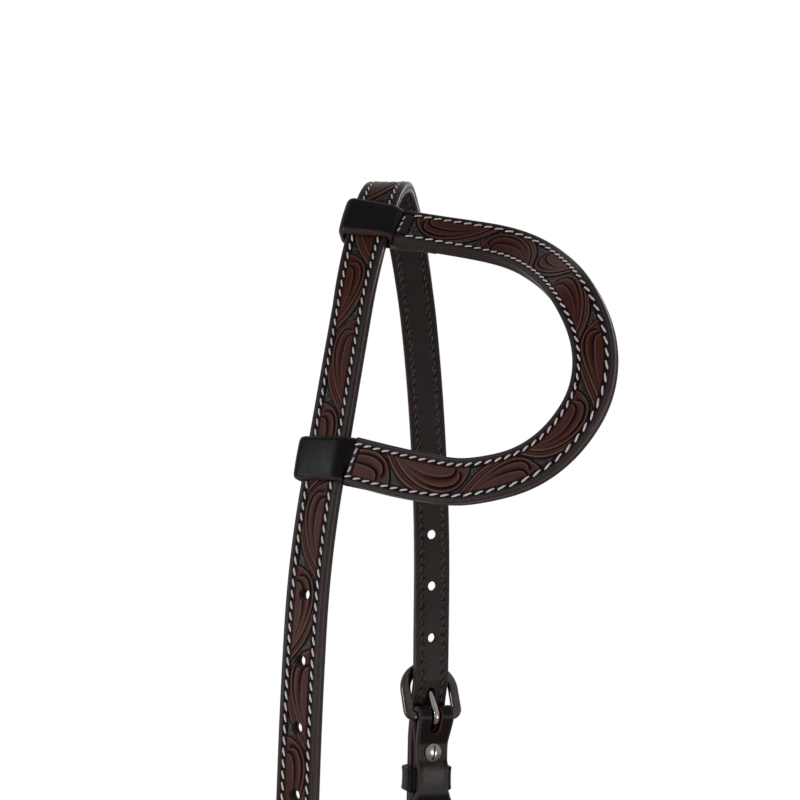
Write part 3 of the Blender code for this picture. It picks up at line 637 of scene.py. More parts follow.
    def add_ground(self, seed):
        """Round matting-tool beads over the dark ground, each with a painted highlight of random strength on
        its top.
        """
        beads = np.random.default_rng(seed)
        pitch, reach = self.BEAD_PITCH, self.BEAD_REACH
        rows = int(self.length / pitch) + 2
        columns = int(2 * self.field / pitch / self.BEAD_ROW) + 2
        i, j = np.meshgrid(np.arange(rows), np.arange(columns), indexing="ij")
        centre_s = (i + 0.5 * (j % 2)) * pitch + beads.normal(0, self.BEAD_SCATTER, i.shape)
        centre_u = -self.field + j * pitch * self.BEAD_ROW + beads.normal(0, self.BEAD_SCATTER, i.shape)
        rise = np.zeros_like(self.height)
        for s, u in zip(centre_s.ravel(), centre_u.ravel()):
            a, b = int(s / self.PIXEL), int((u + self.field) / self.PIXEL)
            if reach <= a < rise.shape[0] - reach and reach <= b < rise.shape[1] - reach:
                here = (slice(a - reach, a + reach + 1), slice(b - reach, b + reach + 1))
                gap = np.hypot(self.along[here[0]][:, None] - s, self.across[here[1]][None] - u)
                bright = beads.uniform(0.25, 1.0) ** 2
                bead = bright * np.clip(1 - (gap / self.BEAD_RADIUS) ** 2, 0, 1) ** 1.5
                rise[here] = np.maximum(rise[here], bead)
        ground = (1 - self.leaf) * (1 - self.dark) ** 0.5
        self.height += self.BEAD_RISE * rise * ground
        # the beads' tops carry painted highlights
        self.painted_highlight = np.maximum(self.painted_highlight, rise * ground)

    def sample(self, s, u):
        """Height, leaf, dark and painted highlight shares at points of the strip; dark holds the stain in the
        cuts and the painted shade beside them.
        """
        i = np.clip(s / self.PIXEL, 0, len(self.along) - 1.001)
        j = np.clip((u + self.field) / self.PIXEL, 0, len(self.across) - 1.001)
        i0, j0 = i.astype(int), j.astype(int)
        fi, fj = i - i0, j - j0
        return [grid[i0, j0] * (1 - fi) * (1 - fj) + grid[i0 + 1, j0] * fi * (1 - fj)
                + grid[i0, j0 + 1] * (1 - fi) * fj + grid[i0 + 1, j0 + 1] * fi * fj
                for grid in (self.height, self.leaf, self.dark, self.painted_highlight)]


# One leaf of the pattern, in units of a tenth of the carved field's breadth
LEAF_FRONT = ((0.4, 5.8), (0.7, 3.4), (1.9, 0.9), (4.3, -1.9), (7.6, -3.8), (11.5, -4.75), (16.0, -4.8))
LEAF_EDGE = ((16.0, -4.8), (20.5, -4.0), (25.0, -2.7), (30.0, -0.5), (34.5, 2.2), (39.2, 5.8))
SLIVER_EDGE = ((43.4, 5.8), (39.6, 2.9), (34.8, -0.9), (30.0, -3.5), (25.2, -5.1), (20.0, -6.2))
LEAF_CUTS = (((7.2, 4.9), (7.3, 3.2), (8.6, 1.7), (11.4, 0.8), (15.8, 0.4), (21.5, 0.7), (28.0, 2.2),
              (34.5, 4.5)),
             ((5.2, 3.4), (4.7, 1.4), (5.9, -0.8), (8.8, -2.3), (12.8, -3.0), (17.2, -2.8), (22.0, -1.7),
              (27.5, 0.3), (33.0, 2.8)))
CUT_DEPTHS = (0.36 * MM, 0.38 * MM)
CUT_WIDE = 1.7 * MM
LEAF_UNIT = 36.0
LEAF_LIFT = 0.2
LEAF_DOME = 0.14 * MM
SLIVER_DOME = 0.10 * MM
POINTS_PER_SPAN = 14


def carve(length, field, starts, seed, first_side=1):
    """A row of leaves, each with its head over the last one's tail and on the other side."""
    carving = Carving(length, field)
    draw = np.random.default_rng(seed)
    scale = field / 5.0
    side = first_side
    for n, at in enumerate(starts):
        pitch = (starts[n + 1] - at) if n + 1 < len(starts) else (at - starts[n - 1])
        stretch = pitch / LEAF_UNIT
        lift = draw.uniform(-LEAF_LIFT, LEAF_LIFT)

        def laid(points):
            line = through(points, POINTS_PER_SPAN)
            return np.stack([at + line[:, 0] * stretch, side * (line[:, 1] + lift) * scale], 1)

        front, edge, sliver = laid(LEAF_FRONT), laid(LEAF_EDGE), laid(SLIVER_EDGE)
        carving.add_leaf(np.concatenate([edge, sliver]), SLIVER_DOME)
        carving.add_leaf(np.concatenate([front[:-1], edge]), LEAF_DOME)
        for cut, depth in zip(LEAF_CUTS, CUT_DEPTHS):
            carving.add_cut(laid(cut), depth, CUT_WIDE, -side)
        side = -side
    carving.add_ground(seed)
    return carving


# Strips of leather


def layer_rings(frames, halves, seam, face, count, relief):
    """Rings of a leather layer between its seam and its face; relief gives the face's height and colours."""
    places, forward, outward = frames
    sign = 1 if face > seam else -1
    edge = np.tile(np.array(BURNISHED_EDGE), (len(halves), 1))
    inset = np.minimum(SEAM_ROUND, halves * 0.3)
    limit = np.minimum(TOP_ROUND, halves * 0.5)
    turns = np.linspace(0, math.pi / 2, 5)[:-1]
    rounding = list(zip(TOP_ROUND * (1 - np.cos(turns)), TOP_ROUND * (1 - np.sin(turns))))
    rows = [(-(halves - inset), seam, edge), (-halves, seam + sign * SEAM_ROUND, edge)]
    rows += [(-halves + a * limit / TOP_ROUND, face - sign * drop, edge) for a, drop in rounding]
    for share in np.linspace(-1, 1, count):
        u = share * (halves - limit)
        height, colours = relief(u, halves)
        rows.append((u, face + sign * height, colours))
    rows += [(halves - a * limit / TOP_ROUND, face - sign * drop, edge) for a, drop in reversed(rounding)]
    rows += [(halves, seam + sign * SEAM_ROUND, edge), (halves - inset, seam, edge)]
    across, out, work = zip(*rows)
    across = np.stack(across, 1)[..., None]
    out = np.stack([np.broadcast_to(height, halves.shape) for height in out], 1)[..., None]
    return places[:, None] + forward[:, None] * across + outward[:, None] * out, np.stack(work, 1)


def finished(rings, work, name, material, body):
    """A piece from rings whose points carry the worked leather's shares."""
    points, faces = tube(rings)
    colours = work.reshape(-1, 4)
    colours = np.concatenate([colours, colours[:1], colours[-1:]])
    return add_mesh(name, points, faces, material, body, colours)


def back_layer(name, body, strap, stations, seam, face, inset):
    """The plain layer under a tooled one."""
    relief = lining_relief(stations, inset)
    rings, work = layer_rings(strap.frames(stations), strap.halves(stations), seam, face, BACK_ACROSS, relief)
    return finished(rings, work, name, LINING, body)


def stitch_pits(stations, gap):
    """How near a point is to the hole at a stitch's end, from 0 to 1."""
    along = np.abs((stations + STITCH_PITCH / 2) % STITCH_PITCH - STITCH_PITCH / 2)
    return np.exp(-(along / PIT_LONG) ** 2 - (gap / PIT_WIDE) ** 2)


def tooled_relief(stations, carving, inset, row_gap):
    """Relief of a carved and stitched face: leaves, a border cut, the stitching groove and a plain edge."""
    def relief(u, halves):
        field = halves - inset - row_gap
        share = u / np.maximum(field, 1 * MM)
        height, leaf, dark, painted_highlight = carving.sample(stations, share * carving.field)
        within = smooth((field - np.abs(u)) / BORDER_WIDE + 0.5)
        border = bell(np.abs(u) - field, BORDER_WIDE)
        gap = np.abs(u) - (halves - inset)
        groove = bell(gap, GROOVE_WIDE)
        pits = stitch_pits(stations, gap)
        crease = bell(halves - np.abs(u) - CREASE_AT, CREASE_WIDE)
        total = height * within - BORDER_DEEP * border - GROOVE_DEEP * groove - PIT_DEEP * pits
        total -= CREASE_DEEP * crease
        # the dark stain in the leaf cuts and the border line, with painted shade beside the cuts, in the
        # stitch holes and along the stitching groove
        shade = np.maximum(dark * within, np.maximum(border * 0.9, np.maximum(pits, groove * 0.6)))
        rim = smooth((np.abs(u) - (halves - BURNISH_REACH)) / BURNISH_FADE)
        return total, np.stack([leaf * within, shade, rim, painted_highlight * within], 1)
    return relief


def lining_relief(stations, inset):
    """Relief of a plain face: the stitching's groove and pits, a creased edge, and small dents by the rows;
    the groove, pits, crease and dents get painted shade and the crests between the dents painted glints.
    """
    def relief(u, halves):
        gap = np.abs(u) - (halves - inset)
        groove = bell(gap, BACK_GROOVE_WIDE)
        pits = stitch_pits(stations, gap)
        crease = bell(halves - np.abs(u) - BACK_CREASE_AT, BACK_CREASE_WIDE)
        wave = np.sin(stations / (0.36 * MM) + 2.3 * np.sin(u / (0.8 * MM) + stations / (2.9 * MM)))
        wave *= 1.5 * np.sin(u / (0.5 * MM) + 1.9 * np.sin(stations / (0.83 * MM)))
        wave *= bell(gap + 0.3 * MM, 1.7 * MM)
        # painted shade in the dents and painted glints on the crests between them
        speck, glint = np.clip(wave, 0, 1), np.clip(-wave - 0.35, 0, 1)
        height = -BACK_GROOVE_DEEP * groove - BACK_CREASE_DEEP * crease - SPECK_DEEP * speck
        shade = np.maximum(np.maximum(pits, speck * 0.9), np.maximum(groove * 0.6, crease * 0.3))
        rim = smooth((np.abs(u) - (halves - BACK_CREASE_AT)) / BACK_BURNISH_FADE) * 0.8
        return height, np.stack([np.zeros_like(u), shade, rim, glint * 0.8], 1)
    return relief


def stitch_body(start, end, side, up, radius):
    """A two-ply thread that rises out of one hole and dips into the next."""
    t = np.linspace(0, 1, STITCH_ROWS)
    course = start + (end - start) * t[:, None]
    rise = radius * (STITCH_DIP * (1 - np.abs(2 * t - 1) ** 5) - STITCH_DIP)
    full = radius * (1 - STITCH_END_THIN * np.abs(2 * t - 1) ** 6)
    angle = 2 * np.pi * np.arange(STITCH_SIDES) / STITCH_SIDES
    ply = 1 + PLY_SWELL * np.cos(2 * (angle[None] - PLY_TWIST * t[:, None]))
    wide = (full[:, None] * ply * np.cos(angle)[None])[..., None] * side
    high = (full[:, None] * ply * np.sin(angle)[None] * STITCH_FLAT + rise[:, None])[..., None] * up
    return tube(course[:, None] + wide + high)


def add_stitches(name, thread, body, strap, ends, inset, face, more=()):
    """Two rows of stitches, each slanted a little across its row, and any more that are given."""
    material, radius = thread
    first, last = ends
    number = math.ceil(first / STITCH_PITCH) + np.arange(int((last - first) / STITCH_PITCH))
    middles = (number + 0.5) * STITCH_PITCH
    middles = middles[(middles > first) & (middles < last)]
    reach = STITCH_LENGTH / 2
    lean = math.tan(STITCH_SLANT) * reach
    up = strap.frames(middles)[2] * math.copysign(1, face)
    parts = []
    for sign in (-1, 1):
        row = []
        for offset, shift in ((-reach, -lean), (reach, lean)):
            places, forward, outward = strap.frames(middles + offset)
            across = sign * (strap.halves(middles) - inset) + shift
            row.append(places + forward * across[:, None] + outward * face)
        side = unit(np.cross(up, row[1] - row[0]))
        parts += [stitch_body(*places, radius) for places in zip(*row, side, up)]
    add_mesh(name, *joined(parts + list(more)), material, body)


# Node materials


class Nodes:
    """Puts together the nodes of a material or a world; what it's given is a socket or a fixed value."""

    def __init__(self, owner, target):
        owner.use_nodes = True
        self.tree = owner.node_tree
        self.target = self.tree.nodes[target]

    def put(self, value, socket):
        if isinstance(value, bpy.types.NodeSocket):
            self.tree.links.new(value, socket)
        else:
            socket.default_value = value

    def give(self, name, value):
        """Sets one input of the shader itself."""
        self.put(value, self.target.inputs[name])

    def node(self, kind, inputs=None, **values):
        node = self.tree.nodes.new(kind)
        for key, value in values.items():
            setattr(node, key, value)
        for key, value in (inputs or {}).items():
            self.put(value, node.inputs[key])
        return node

    def mix(self, factor, first, second):
        """A colour mix."""
        node = self.node("ShaderNodeMix", data_type="RGBA")
        for name, value in (("Factor", factor), ("A", first), ("B", second)):
            self.put(value, next(s for s in node.inputs if s.name == name and s.enabled))
        return next(s for s in node.outputs if s.enabled)

    def maths(self, operation, *values):
        return self.node("ShaderNodeMath", dict(enumerate(values)), operation=operation).outputs[0]

    def noise(self, scale, detail=3.0, rough=0.55, stretch=None):
        place = self.node("ShaderNodeTexCoord").outputs["Object"]
        if stretch:
            place = self.node("ShaderNodeMapping", {"Vector": place, "Scale": stretch}).outputs[0]
        settings = {"Vector": place, "Scale": scale, "Detail": detail, "Roughness": rough}
        return self.node("ShaderNodeTexNoise", settings).outputs[0]

    def pores(self, scale):
        settings = {"Vector": self.node("ShaderNodeTexCoord").outputs["Object"], "Scale": scale}
        return self.node("ShaderNodeTexVoronoi", settings, feature="DISTANCE_TO_EDGE").outputs["Distance"]

    def bump(self, height, strength, distance):
        settings = {"Strength": strength, "Distance": distance, "Height": height}
        self.give("Normal", self.node("ShaderNodeBump", settings).outputs[0])

    def worked(self):
        """The worked leather's leaf, dark (stain and painted shade), edge and painted highlight shares."""
        work = self.node("ShaderNodeVertexColor", layer_name="work")
        parts = self.node("ShaderNodeSeparateColor", {0: work.outputs["Color"]})
        return *parts.outputs[:3], work.outputs["Alpha"]

    def burnished(self, base, rim):
        """Brown burnished edges with lengthwise streaks over the base colour."""
        edge = self.mix(self.noise(420.0, 4.0, 0.6), (0.0120, 0.0076, 0.0070, 1), (0.040, 0.027, 0.025, 1))
        return self.mix(rim, base, edge)

    def leather(self, dark, gloss, grain_scale, rough_low, rough_span, strength):
        """Pores, grain, a roughness that follows them, and a gloss that the dark parts lose."""
        self.give("Specular IOR Level", self.maths("MULTIPLY_ADD", dark, -gloss, gloss))
        grain = self.noise(grain_scale)
        wear = self.maths("MULTIPLY", self.maths("ADD", grain, self.noise(75.0)), 0.5)
        self.give("Roughness", self.maths("MULTIPLY_ADD", wear, rough_span, rough_low))
        pores = self.maths("MULTIPLY", self.pores(grain_scale), 0.9)
        self.bump(self.maths("ADD", grain, pores), strength, 0.12 * MM)


def material(name, finish, *values):
    """A new material whose look one of the functions below puts together."""
    made = bpy.data.materials.new(name)
    finish(Nodes(made, "Principled BSDF"), *values)
    return made


def tooled_leather(nodes):
    """Carved leather: red-brown leaves on a black ground, dark stained cuts with painted shade, painted
    highlights on the lips and beads, and brown burnished edges.
    """
    leaf, dark, rim, painted_highlight = nodes.worked()
    cloud = nodes.maths("MULTIPLY", nodes.maths("ADD", nodes.noise(110.0, 4.0), nodes.noise(520.0)), 0.5)
    leather = nodes.mix(cloud, (0.0090, 0.0014, 0.0007, 1), (0.0520, 0.0090, 0.0042, 1))
    ground = nodes.mix(nodes.noise(700.0, 2.0), (0.0030, 0.0025, 0.0024, 1), (0.0080, 0.0066, 0.0062, 1))
    # the colour of the painted highlights
    pale = nodes.mix(leaf, (0.190, 0.178, 0.168, 1), (0.200, 0.112, 0.092, 1))
    base = nodes.mix(nodes.maths("MULTIPLY", painted_highlight, 0.60), nodes.mix(leaf, ground, leather), pale)
    base = nodes.burnished(base, rim)
    # darkens the stained cuts and the painted shade
    nodes.give("Base Color", nodes.mix(dark, base, (0.0030, 0.0023, 0.0022, 1)))
    nodes.leather(dark, 0.06, 1300.0, 0.27, 0.22, 0.24)


def lining_leather(nodes):
    """Plain leather: dark brown with a fine grain, painted glints and painted shade by the stitching, and the
    same burnished edges.
    """
    _, dark, rim, painted_highlight = nodes.worked()
    base = nodes.mix(nodes.noise(60.0, 4.0), (0.0110, 0.0084, 0.0079, 1), (0.0195, 0.0155, 0.0146, 1))
    # painted glints on the crests between the dents
    base = nodes.mix(painted_highlight, base, (0.085, 0.068, 0.062, 1))
    base = nodes.burnished(base, rim)
    nodes.give("Base Color", nodes.mix(dark, base, (0.0040, 0.0026, 0.0022, 1)))
    nodes.leather(dark, 0.045, 1000.0, 0.33, 0.20, 0.26)


def black_leather(nodes):
    """Smooth black leather with a waxed shine and faint creases."""
    rim = nodes.worked()[2]
    base = nodes.mix(nodes.noise(120.0, 4.0), (0.0014, 0.0010, 0.0012, 1), (0.0040, 0.0031, 0.0034, 1))
    nodes.give("Base Color", nodes.burnished(base, rim))
    nodes.give("Specular IOR Level", 0.05)
    crease = nodes.noise(420.0, 5.0, 0.62, (1.0, 1.0, 0.45))
    nodes.give("Roughness", nodes.maths("MULTIPLY_ADD", crease, 0.20, 0.22))
    height = nodes.maths("ADD", crease, nodes.maths("MULTIPLY", nodes.pores(900.0), 0.5))
    nodes.bump(height, 0.30, 0.16 * MM)


def fibres(nodes, low, high, grain, roughness, gloss, relief):
    """Loose fibres, as in a thread or in a punched hole's wall."""
    fibre = nodes.noise(*grain)
    nodes.give("Base Color", nodes.mix(fibre, low, high))
    nodes.give("Roughness", roughness)
    nodes.give("Specular IOR Level", gloss)
    nodes.bump(fibre, *relief)


def steel(nodes, low, high, rough_low, rough_span):
    """Polished steel with faint smears and fine scratches."""
    nodes.give("Metallic", 1.0)
    smear = nodes.noise(140.0, 4.0)
    nodes.give("Base Color", nodes.mix(smear, low, high))
    nodes.give("Roughness", nodes.maths("MULTIPLY_ADD", smear, rough_span, rough_low))
    nodes.bump(nodes.noise(700.0, 3.0, 0.6, (1.0, 1.0, 0.15)), 0.06, 0.1 * MM)


# Grain, roughness, gloss and relief of cut leather and of thread
CUT = ((1300.0, 3.0), 0.75, 0.1, (0.4, 0.15 * MM))
SPUN = ((900.0, 4.0, 0.7), 0.6, 0.2, (0.25, 0.1 * MM))

TOOLED = material("tooled_leather", tooled_leather)
LINING = material("lining_leather", lining_leather)
BLACK = material("black_leather", black_leather)
RAW = material("raw_leather", fibres, (0.060, 0.012, 0.005, 1), (0.170, 0.045, 0.018, 1), *CUT)
HOLE_WALL = material("hole_leather", fibres, (0.010, 0.004, 0.003, 1), (0.055, 0.020, 0.012, 1), *CUT)
PALE_THREAD = material("pale_thread", fibres, (0.22, 0.17, 0.18, 1), (0.72, 0.61, 0.62, 1), *SPUN)
DARK_THREAD = material("dark_thread", fibres, (0.006, 0.0045, 0.004, 1), (0.060, 0.046, 0.040, 1), *SPUN)
STEEL = material("dark_steel", steel, (0.028, 0.025, 0.023, 1), (0.070, 0.064, 0.060, 1), 0.10, 0.18)
TONGUE_STEEL = material("tongue_steel", steel, (0.14, 0.135, 0.13, 1), (0.34, 0.33, 0.32, 1), 0.08, 0.12)
SCREW_STEEL = material("screw_steel", steel, (0.135, 0.128, 0.112, 1), (0.26, 0.245, 0.22, 1), 0.16, 0.16)
PALE_STITCH = (PALE_THREAD, STITCH_RADIUS)
DARK_STITCH = (DARK_THREAD, BACK_STITCH_RADIUS)

RIGHT = Route(-1, RIGHT_RUN_SHARES, RIGHT_BENDS, RIGHT_TWISTS, RIGHT_SWEEPS, RIGHT_TONGUE_HOLE)
LEFT = Route(1, LEFT_RUN_SHARES, LEFT_BENDS, LEFT_TWISTS, LEFT_SWEEPS, LEFT_TONGUE_HOLE)
SIDES = (("right", RIGHT), ("left", LEFT))


# Crown strap


class Crown:
    """The whole crown strap: a run that starts at the left tip, passes the top and ends at the right tip."""

    length = LEFT.tip + RIGHT.tip

    def frames(self, runs):
        parts = []
        for run in runs:
            route, station = (LEFT, LEFT.tip - run) if run < LEFT.tip else (RIGHT, run - LEFT.tip)
            place, turn = route.at(float(max(0.0, station)))
            outward = turn @ Vector((0, 0, 1))
            rise = crown_out(station - route.bar) - HALF_STRAP
            parts.append((*(place + outward * rise), *(turn @ Vector((1, 0, 0))), *outward))
        parts = np.array(parts)
        return parts[:, 0:3], parts[:, 3:6], parts[:, 6:9]

    def halves(self, runs):
        runs = np.asarray(runs)
        ahead = np.minimum(runs, self.length - runs)
        share = np.clip(1 - ahead / TIP_POINT, 0, 1)
        return STRAP_WIDTH / 2 * np.maximum(TIP_END_SHARE, np.sqrt(1 - share ** 2))

    def rows(self, fine, coarse):
        """Runs that are close together on the right and farther apart on the left."""
        turn_at = LEFT.tip - 0.08
        first = np.linspace(0, turn_at, round(turn_at / coarse) + 1)
        rest = self.length - turn_at
        return np.concatenate([first[:-1], turn_at + np.linspace(0, rest, round(rest / fine) + 1)])


CROWN = Crown()


# Where leaves of the right side begin, down from the top of the strap, in millimetres
RIGHT_LEAVES = (63, 96, 135, 171, 208, 243, 280, 316, 352, 388)
CROWN_LEAF_PITCH = 36 * MM
CROWN_LEAF_START = -40 * MM
CROWN_SEED, EAR_SEED, CHEEK_SEED = 11, 5, 23
CROWN_STITCH_END = 7 * MM
HOLE_SIDES = 40


def crown_holes():
    """The round holes, and the leaning hole that each tongue passes through."""
    parts = []
    depth = HALF_STRAP + 2 * MM
    heel, rest = shank_line()
    slope = math.atan2(rest[1] - heel[1], rest[0] - heel[0])
    wide = TONGUE_HALF_WIDTH + TONGUE_HOLE_SIDE_PLAY
    deep = TONGUE_HALF_THICK + TONGUE_HOLE_SWING_PLAY
    for _, route in SIDES:
        for index in range(HOLE_COUNT):
            station = route.hole(index)
            if index != route.tongue_hole:
                parts.append(pillar(circle(HOLE_RADIUS, HOLE_SIDES), -depth, depth,
                                    route.upright(station, float(crown_out(station - route.bar)))))
        middle = route.upright(route.hole(route.tongue_hole), float(crown_out(-tongue_crossing())))
        tunnel = middle @ Matrix.Rotation(FRAME_LEAN + slope - math.pi / 2, 4, "X")
        parts.append(pillar(circle(wide, HOLE_SIDES, deep / wide), -STRAP_WIDTH / 2, STRAP_WIDTH / 2, tunnel))
    return parts


def add_crown():
    runs = CROWN.rows(*CROWN_STEPS)
    starts = [LEFT.tip + station * MM for station in RIGHT_LEAVES]
    while starts[0] > CROWN_LEAF_START:
        starts.insert(0, starts[0] - CROWN_LEAF_PITCH)
    first_side = 1 if (len(starts) - len(RIGHT_LEAVES)) % 2 else -1
    field = STRAP_WIDTH / 2 - STITCH_INSET - BORDER_GAP
    relief = tooled_relief(runs, carve(CROWN.length, field, starts, CROWN_SEED, first_side), STITCH_INSET,
                           BORDER_GAP)
    rings, work = layer_rings(CROWN.frames(runs), CROWN.halves(runs), 0.0, HALF_STRAP, CROWN_ACROSS, relief)
    piece = finished(rings, work, "crown_tooled", TOOLED, "headstall")
    cut_away(piece, crown_holes(), HOLE_WALL)
    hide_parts("crown_tooled_layer")
    runs = CROWN.rows(*CROWN_BACK_STEPS)
    piece = back_layer("crown_back", "headstall", CROWN, runs, 0.0, -HALF_STRAP, STITCH_INSET)
    cut_away(piece, crown_holes(), HOLE_WALL)
    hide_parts("crown_lining")
    ends = (CROWN_STITCH_END, CROWN.length - CROWN_STITCH_END)
    add_stitches("crown_stitches", PALE_STITCH, "headstall", CROWN, ends, STITCH_INSET, HALF_STRAP)
    add_stitches("crown_back_stitches", DARK_STITCH, "headstall", CROWN, ends, STITCH_INSET, -HALF_STRAP)


# Ear piece


EAR_GUIDE_STEPS = 60
EAR_LINE_STEP = 0.5 * MM
EAR_CORNER_STEPS = 11
EAR_COURSE_STEPS = 14
EAR_SOFT_STEPS = 70
EAR_BEND_STEPS = 60
EAR_BEND_AT = 117 * MM
EAR_BEND_REACH = 26 * MM
EAR_START_FRAME = 5.8 * MM
EAR_END_FRAME = 3.1 * MM
FRAME_LINE_DEEP = 0.24 * MM
FRAME_LINE_IN = 0.6 * MM
FRAME_FADE = 0.4 * MM
EAR_END_WORK = (0.0, 0.6, 0.0)
EAR_LEAF_SHARES = (0.023, 0.140, 0.256, 0.348, 0.467, 0.572, 0.690, 0.792, 0.920)
EAR_STITCH_END = 1 * MM
EAR_CROSS_ROWS = (1.1 * MM, 1.7 * MM)
CROSS_PITCH = 4.1 * MM
CROSS_REACH = 0.42
CROSS_LEAN = 0.3 * MM


class EarBand:
    """The ear piece's centreline and its frames: X along it, Y away from the ear, Z outward."""

    def __init__(self):
        span = LOWER_JOIN_AT - UPPER_JOIN_AT
        guide = [(blend(EAR_JOIN, EAR_REACH, reach), UPPER_JOIN_AT + span * drop)
                 for reach, drop in zip(EAR_REACH_SHARES, EAR_SPAN_SHARES)]
        flat = softened(evenly(through(guide, EAR_GUIDE_STEPS), EAR_LINE_STEP), EAR_CORNER_STEPS)
        points = np.array([RIGHT.spot(float(station), float(forward), 0) for forward, station in flat])
        reach = reaches(points)
        self.length = reach[-1]
        self.steps = np.linspace(0, self.length, EAR_STEPS + 1)
        rows = sampled(np.concatenate([points, flat], 1), reach, self.steps)
        places, stations = rows[:, :3], rows[:, 4]
        near = bell(self.steps - EAR_BEND_AT, EAR_BEND_REACH)
        places = places + (eased(places, EAR_BEND_STEPS) - places) * near[:, None]
        padded = held(places, EAR_COURSE_STEPS)
        course = unit(padded[2 * EAR_COURSE_STEPS:] - padded[:-2 * EAR_COURSE_STEPS])
        outward = []
        for along, station in zip(self.steps, stations):
            tilt = EAR_TILT * (1 - float(smooth(along / self.length / EAR_TILT_FADE_SHARE)))
            outward.append(RIGHT.at(float(station))[1] @ Quaternion((1, 0, 0), -tilt) @ Vector((0, 0, 1)))
        away = unit(np.cross(eased(np.array(outward), EAR_SOFT_STEPS), course))
        self.rows = np.concatenate([places, away, np.cross(course, away)], 1)

    def frames(self, alongs):
        rows = sampled(self.rows, self.steps, np.clip(alongs, 0, self.length))
        return rows[:, 0:3], rows[:, 3:6], rows[:, 6:9]

    def halves(self, alongs):
        share = np.asarray(alongs) / self.length
        start, full, still, end = EAR_NARROW_SHARES
        narrow = smooth((share - start) / (full - start)) * (1 - smooth((share - still) / (end - still)))
        return blend(EAR_WIDTH, EAR_SIDE_WIDTH, narrow) / 2

    def spot(self, along, across, out):
        """A point along the band; before its start and past its end the band runs straight on."""
        beyond = along - min(self.length, max(0.0, along))
        place, away, outward = (part[0] for part in self.frames(np.array([along])))
        return place + away * across + outward * out + np.cross(away, outward) * beyond


EAR = EarBand()


def ear_relief(alongs, carving):
    """The tooled relief, closed at each end by a carved frame line and a plain black strip."""
    inner = tooled_relief(alongs, carving, EAR_STITCH_INSET, EAR_BORDER_GAP)
    into = np.minimum(alongs - EAR_START_FRAME, EAR.length - EAR_END_FRAME - alongs)
    carved = smooth(into / FRAME_FADE + 0.5)
    line = bell(into, BORDER_WIDE)

    def relief(u, halves):
        height, colours = inner(u, halves)
        within = smooth((halves - EAR_STITCH_INSET - FRAME_LINE_IN - np.abs(u)) / FRAME_FADE)
        keep = np.maximum(carved, 1 - within)
        colours[:, 0] *= carved
        colours[:, 3] *= carved
        colours[:, 1] = np.maximum(colours[:, 1] * keep, line * within)
        return height * keep - FRAME_LINE_DEEP * line * within, colours
    return relief


def cross_row(along, face, radius):
    """Three stitches across the band."""
    place, away, outward = (part[0] for part in EAR.frames(np.array([along])))
    course = np.cross(away, outward)
    reach = away * STITCH_LENGTH * CROSS_REACH + course * CROSS_LEAN
    up = outward * math.copysign(1, face)
    parts = []
    for n in (-1, 0, 1):
        middle = place + away * (n * CROSS_PITCH) + outward * face
        parts.append(stitch_body(middle - reach, middle + reach, course, up, radius))
    return parts


def ear_rows(step):
    return np.linspace(0, EAR.length, round(EAR.length / step) + 1)


def add_ear():
    alongs = ear_rows(EAR_STEP)
    field = EAR_SIDE_WIDTH / 2 - EAR_STITCH_INSET - EAR_BORDER_GAP
    carving = carve(EAR.length, field, [share * EAR.length for share in EAR_LEAF_SHARES], EAR_SEED)
    rings, work = layer_rings(EAR.frames(alongs), EAR.halves(alongs), 0.0, HALF_STRAP, EAR_ACROSS,
                              ear_relief(alongs, carving))
    work[:3, :, :3] = work[-3:, :, :3] = EAR_END_WORK
    piece = finished(rings, work, "ear_tooled", TOOLED, "ear_piece")
    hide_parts("ear_tooled_layer")
    alongs = ear_rows(EAR_BACK_STEP)
    piece = back_layer("ear_back", "ear_piece", EAR, alongs, 0.0, -HALF_STRAP, EAR_STITCH_INSET)
    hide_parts("ear_lining")
    ends = (EAR_STITCH_END, EAR.length - EAR_STITCH_END)
    crossings = (EAR_CROSS_ROWS[0], EAR.length - EAR_CROSS_ROWS[1])
    for name, face, thread in (("ear_stitches", HALF_STRAP, PALE_STITCH),
                               ("ear_back_stitches", -HALF_STRAP, DARK_STITCH)):
        more = [stitch for along in crossings for stitch in cross_row(along, face, thread[1])]
        add_stitches(name, thread, "ear_piece", EAR, ends, EAR_STITCH_INSET, face, more)


# The black loops


LOOP_FRONT_ROUND = 4.3 * MM
LOOP_BACK_ROUND = 3.8 * MM
LOOP_OPENING_ROUND = 0.9 * MM
LOOP_EASE = 2.1 * MM
LOOP_CREASE_AT = 1.6 * MM
LOOP_CREASE_WIDE = 0.28 * MM
LOOP_CREASE_DEEP = 0.14 * MM
LOOP_HOLLOW = 0.30 * MM
LOOP_BELLY = 0.12 * MM
TAIL_START = 4.0 * MM
TAIL_END_WALL = 0.9 * MM
TAIL_THINNEST = 0.3 * MM
TAIL_OVER = 0.15 * MM
TAIL_RISE = 1.2 * MM
JOINT_OVER = 0.12 * MM
LOOP_FLAT_AT = 5.5 * MM
LOOP_BACK_AT = 5.0 * MM
BROWN_FADE = 0.4 * MM
UPPER_LOOP_BROWN = 1.9 * MM
LOWER_LOOP_BROWN = 1.2 * MM

# The loop's rows in from its rim, and its shoulder's points forward and out, in millimetres
LOOP_ROWS = (0.0, 0.10, 0.25, 0.45, 0.70, 0.9, 1.1, 1.3, 1.5, 1.7, 1.9, 2.2, 2.7, 3.5, 4.5, 5.5, 6.5,
             7.5, 8.5)
LOOP_SHOULDER = ((11.9, 4.75), (10.7, 5.5), (9.2, 6.05), (7.6, 6.35))


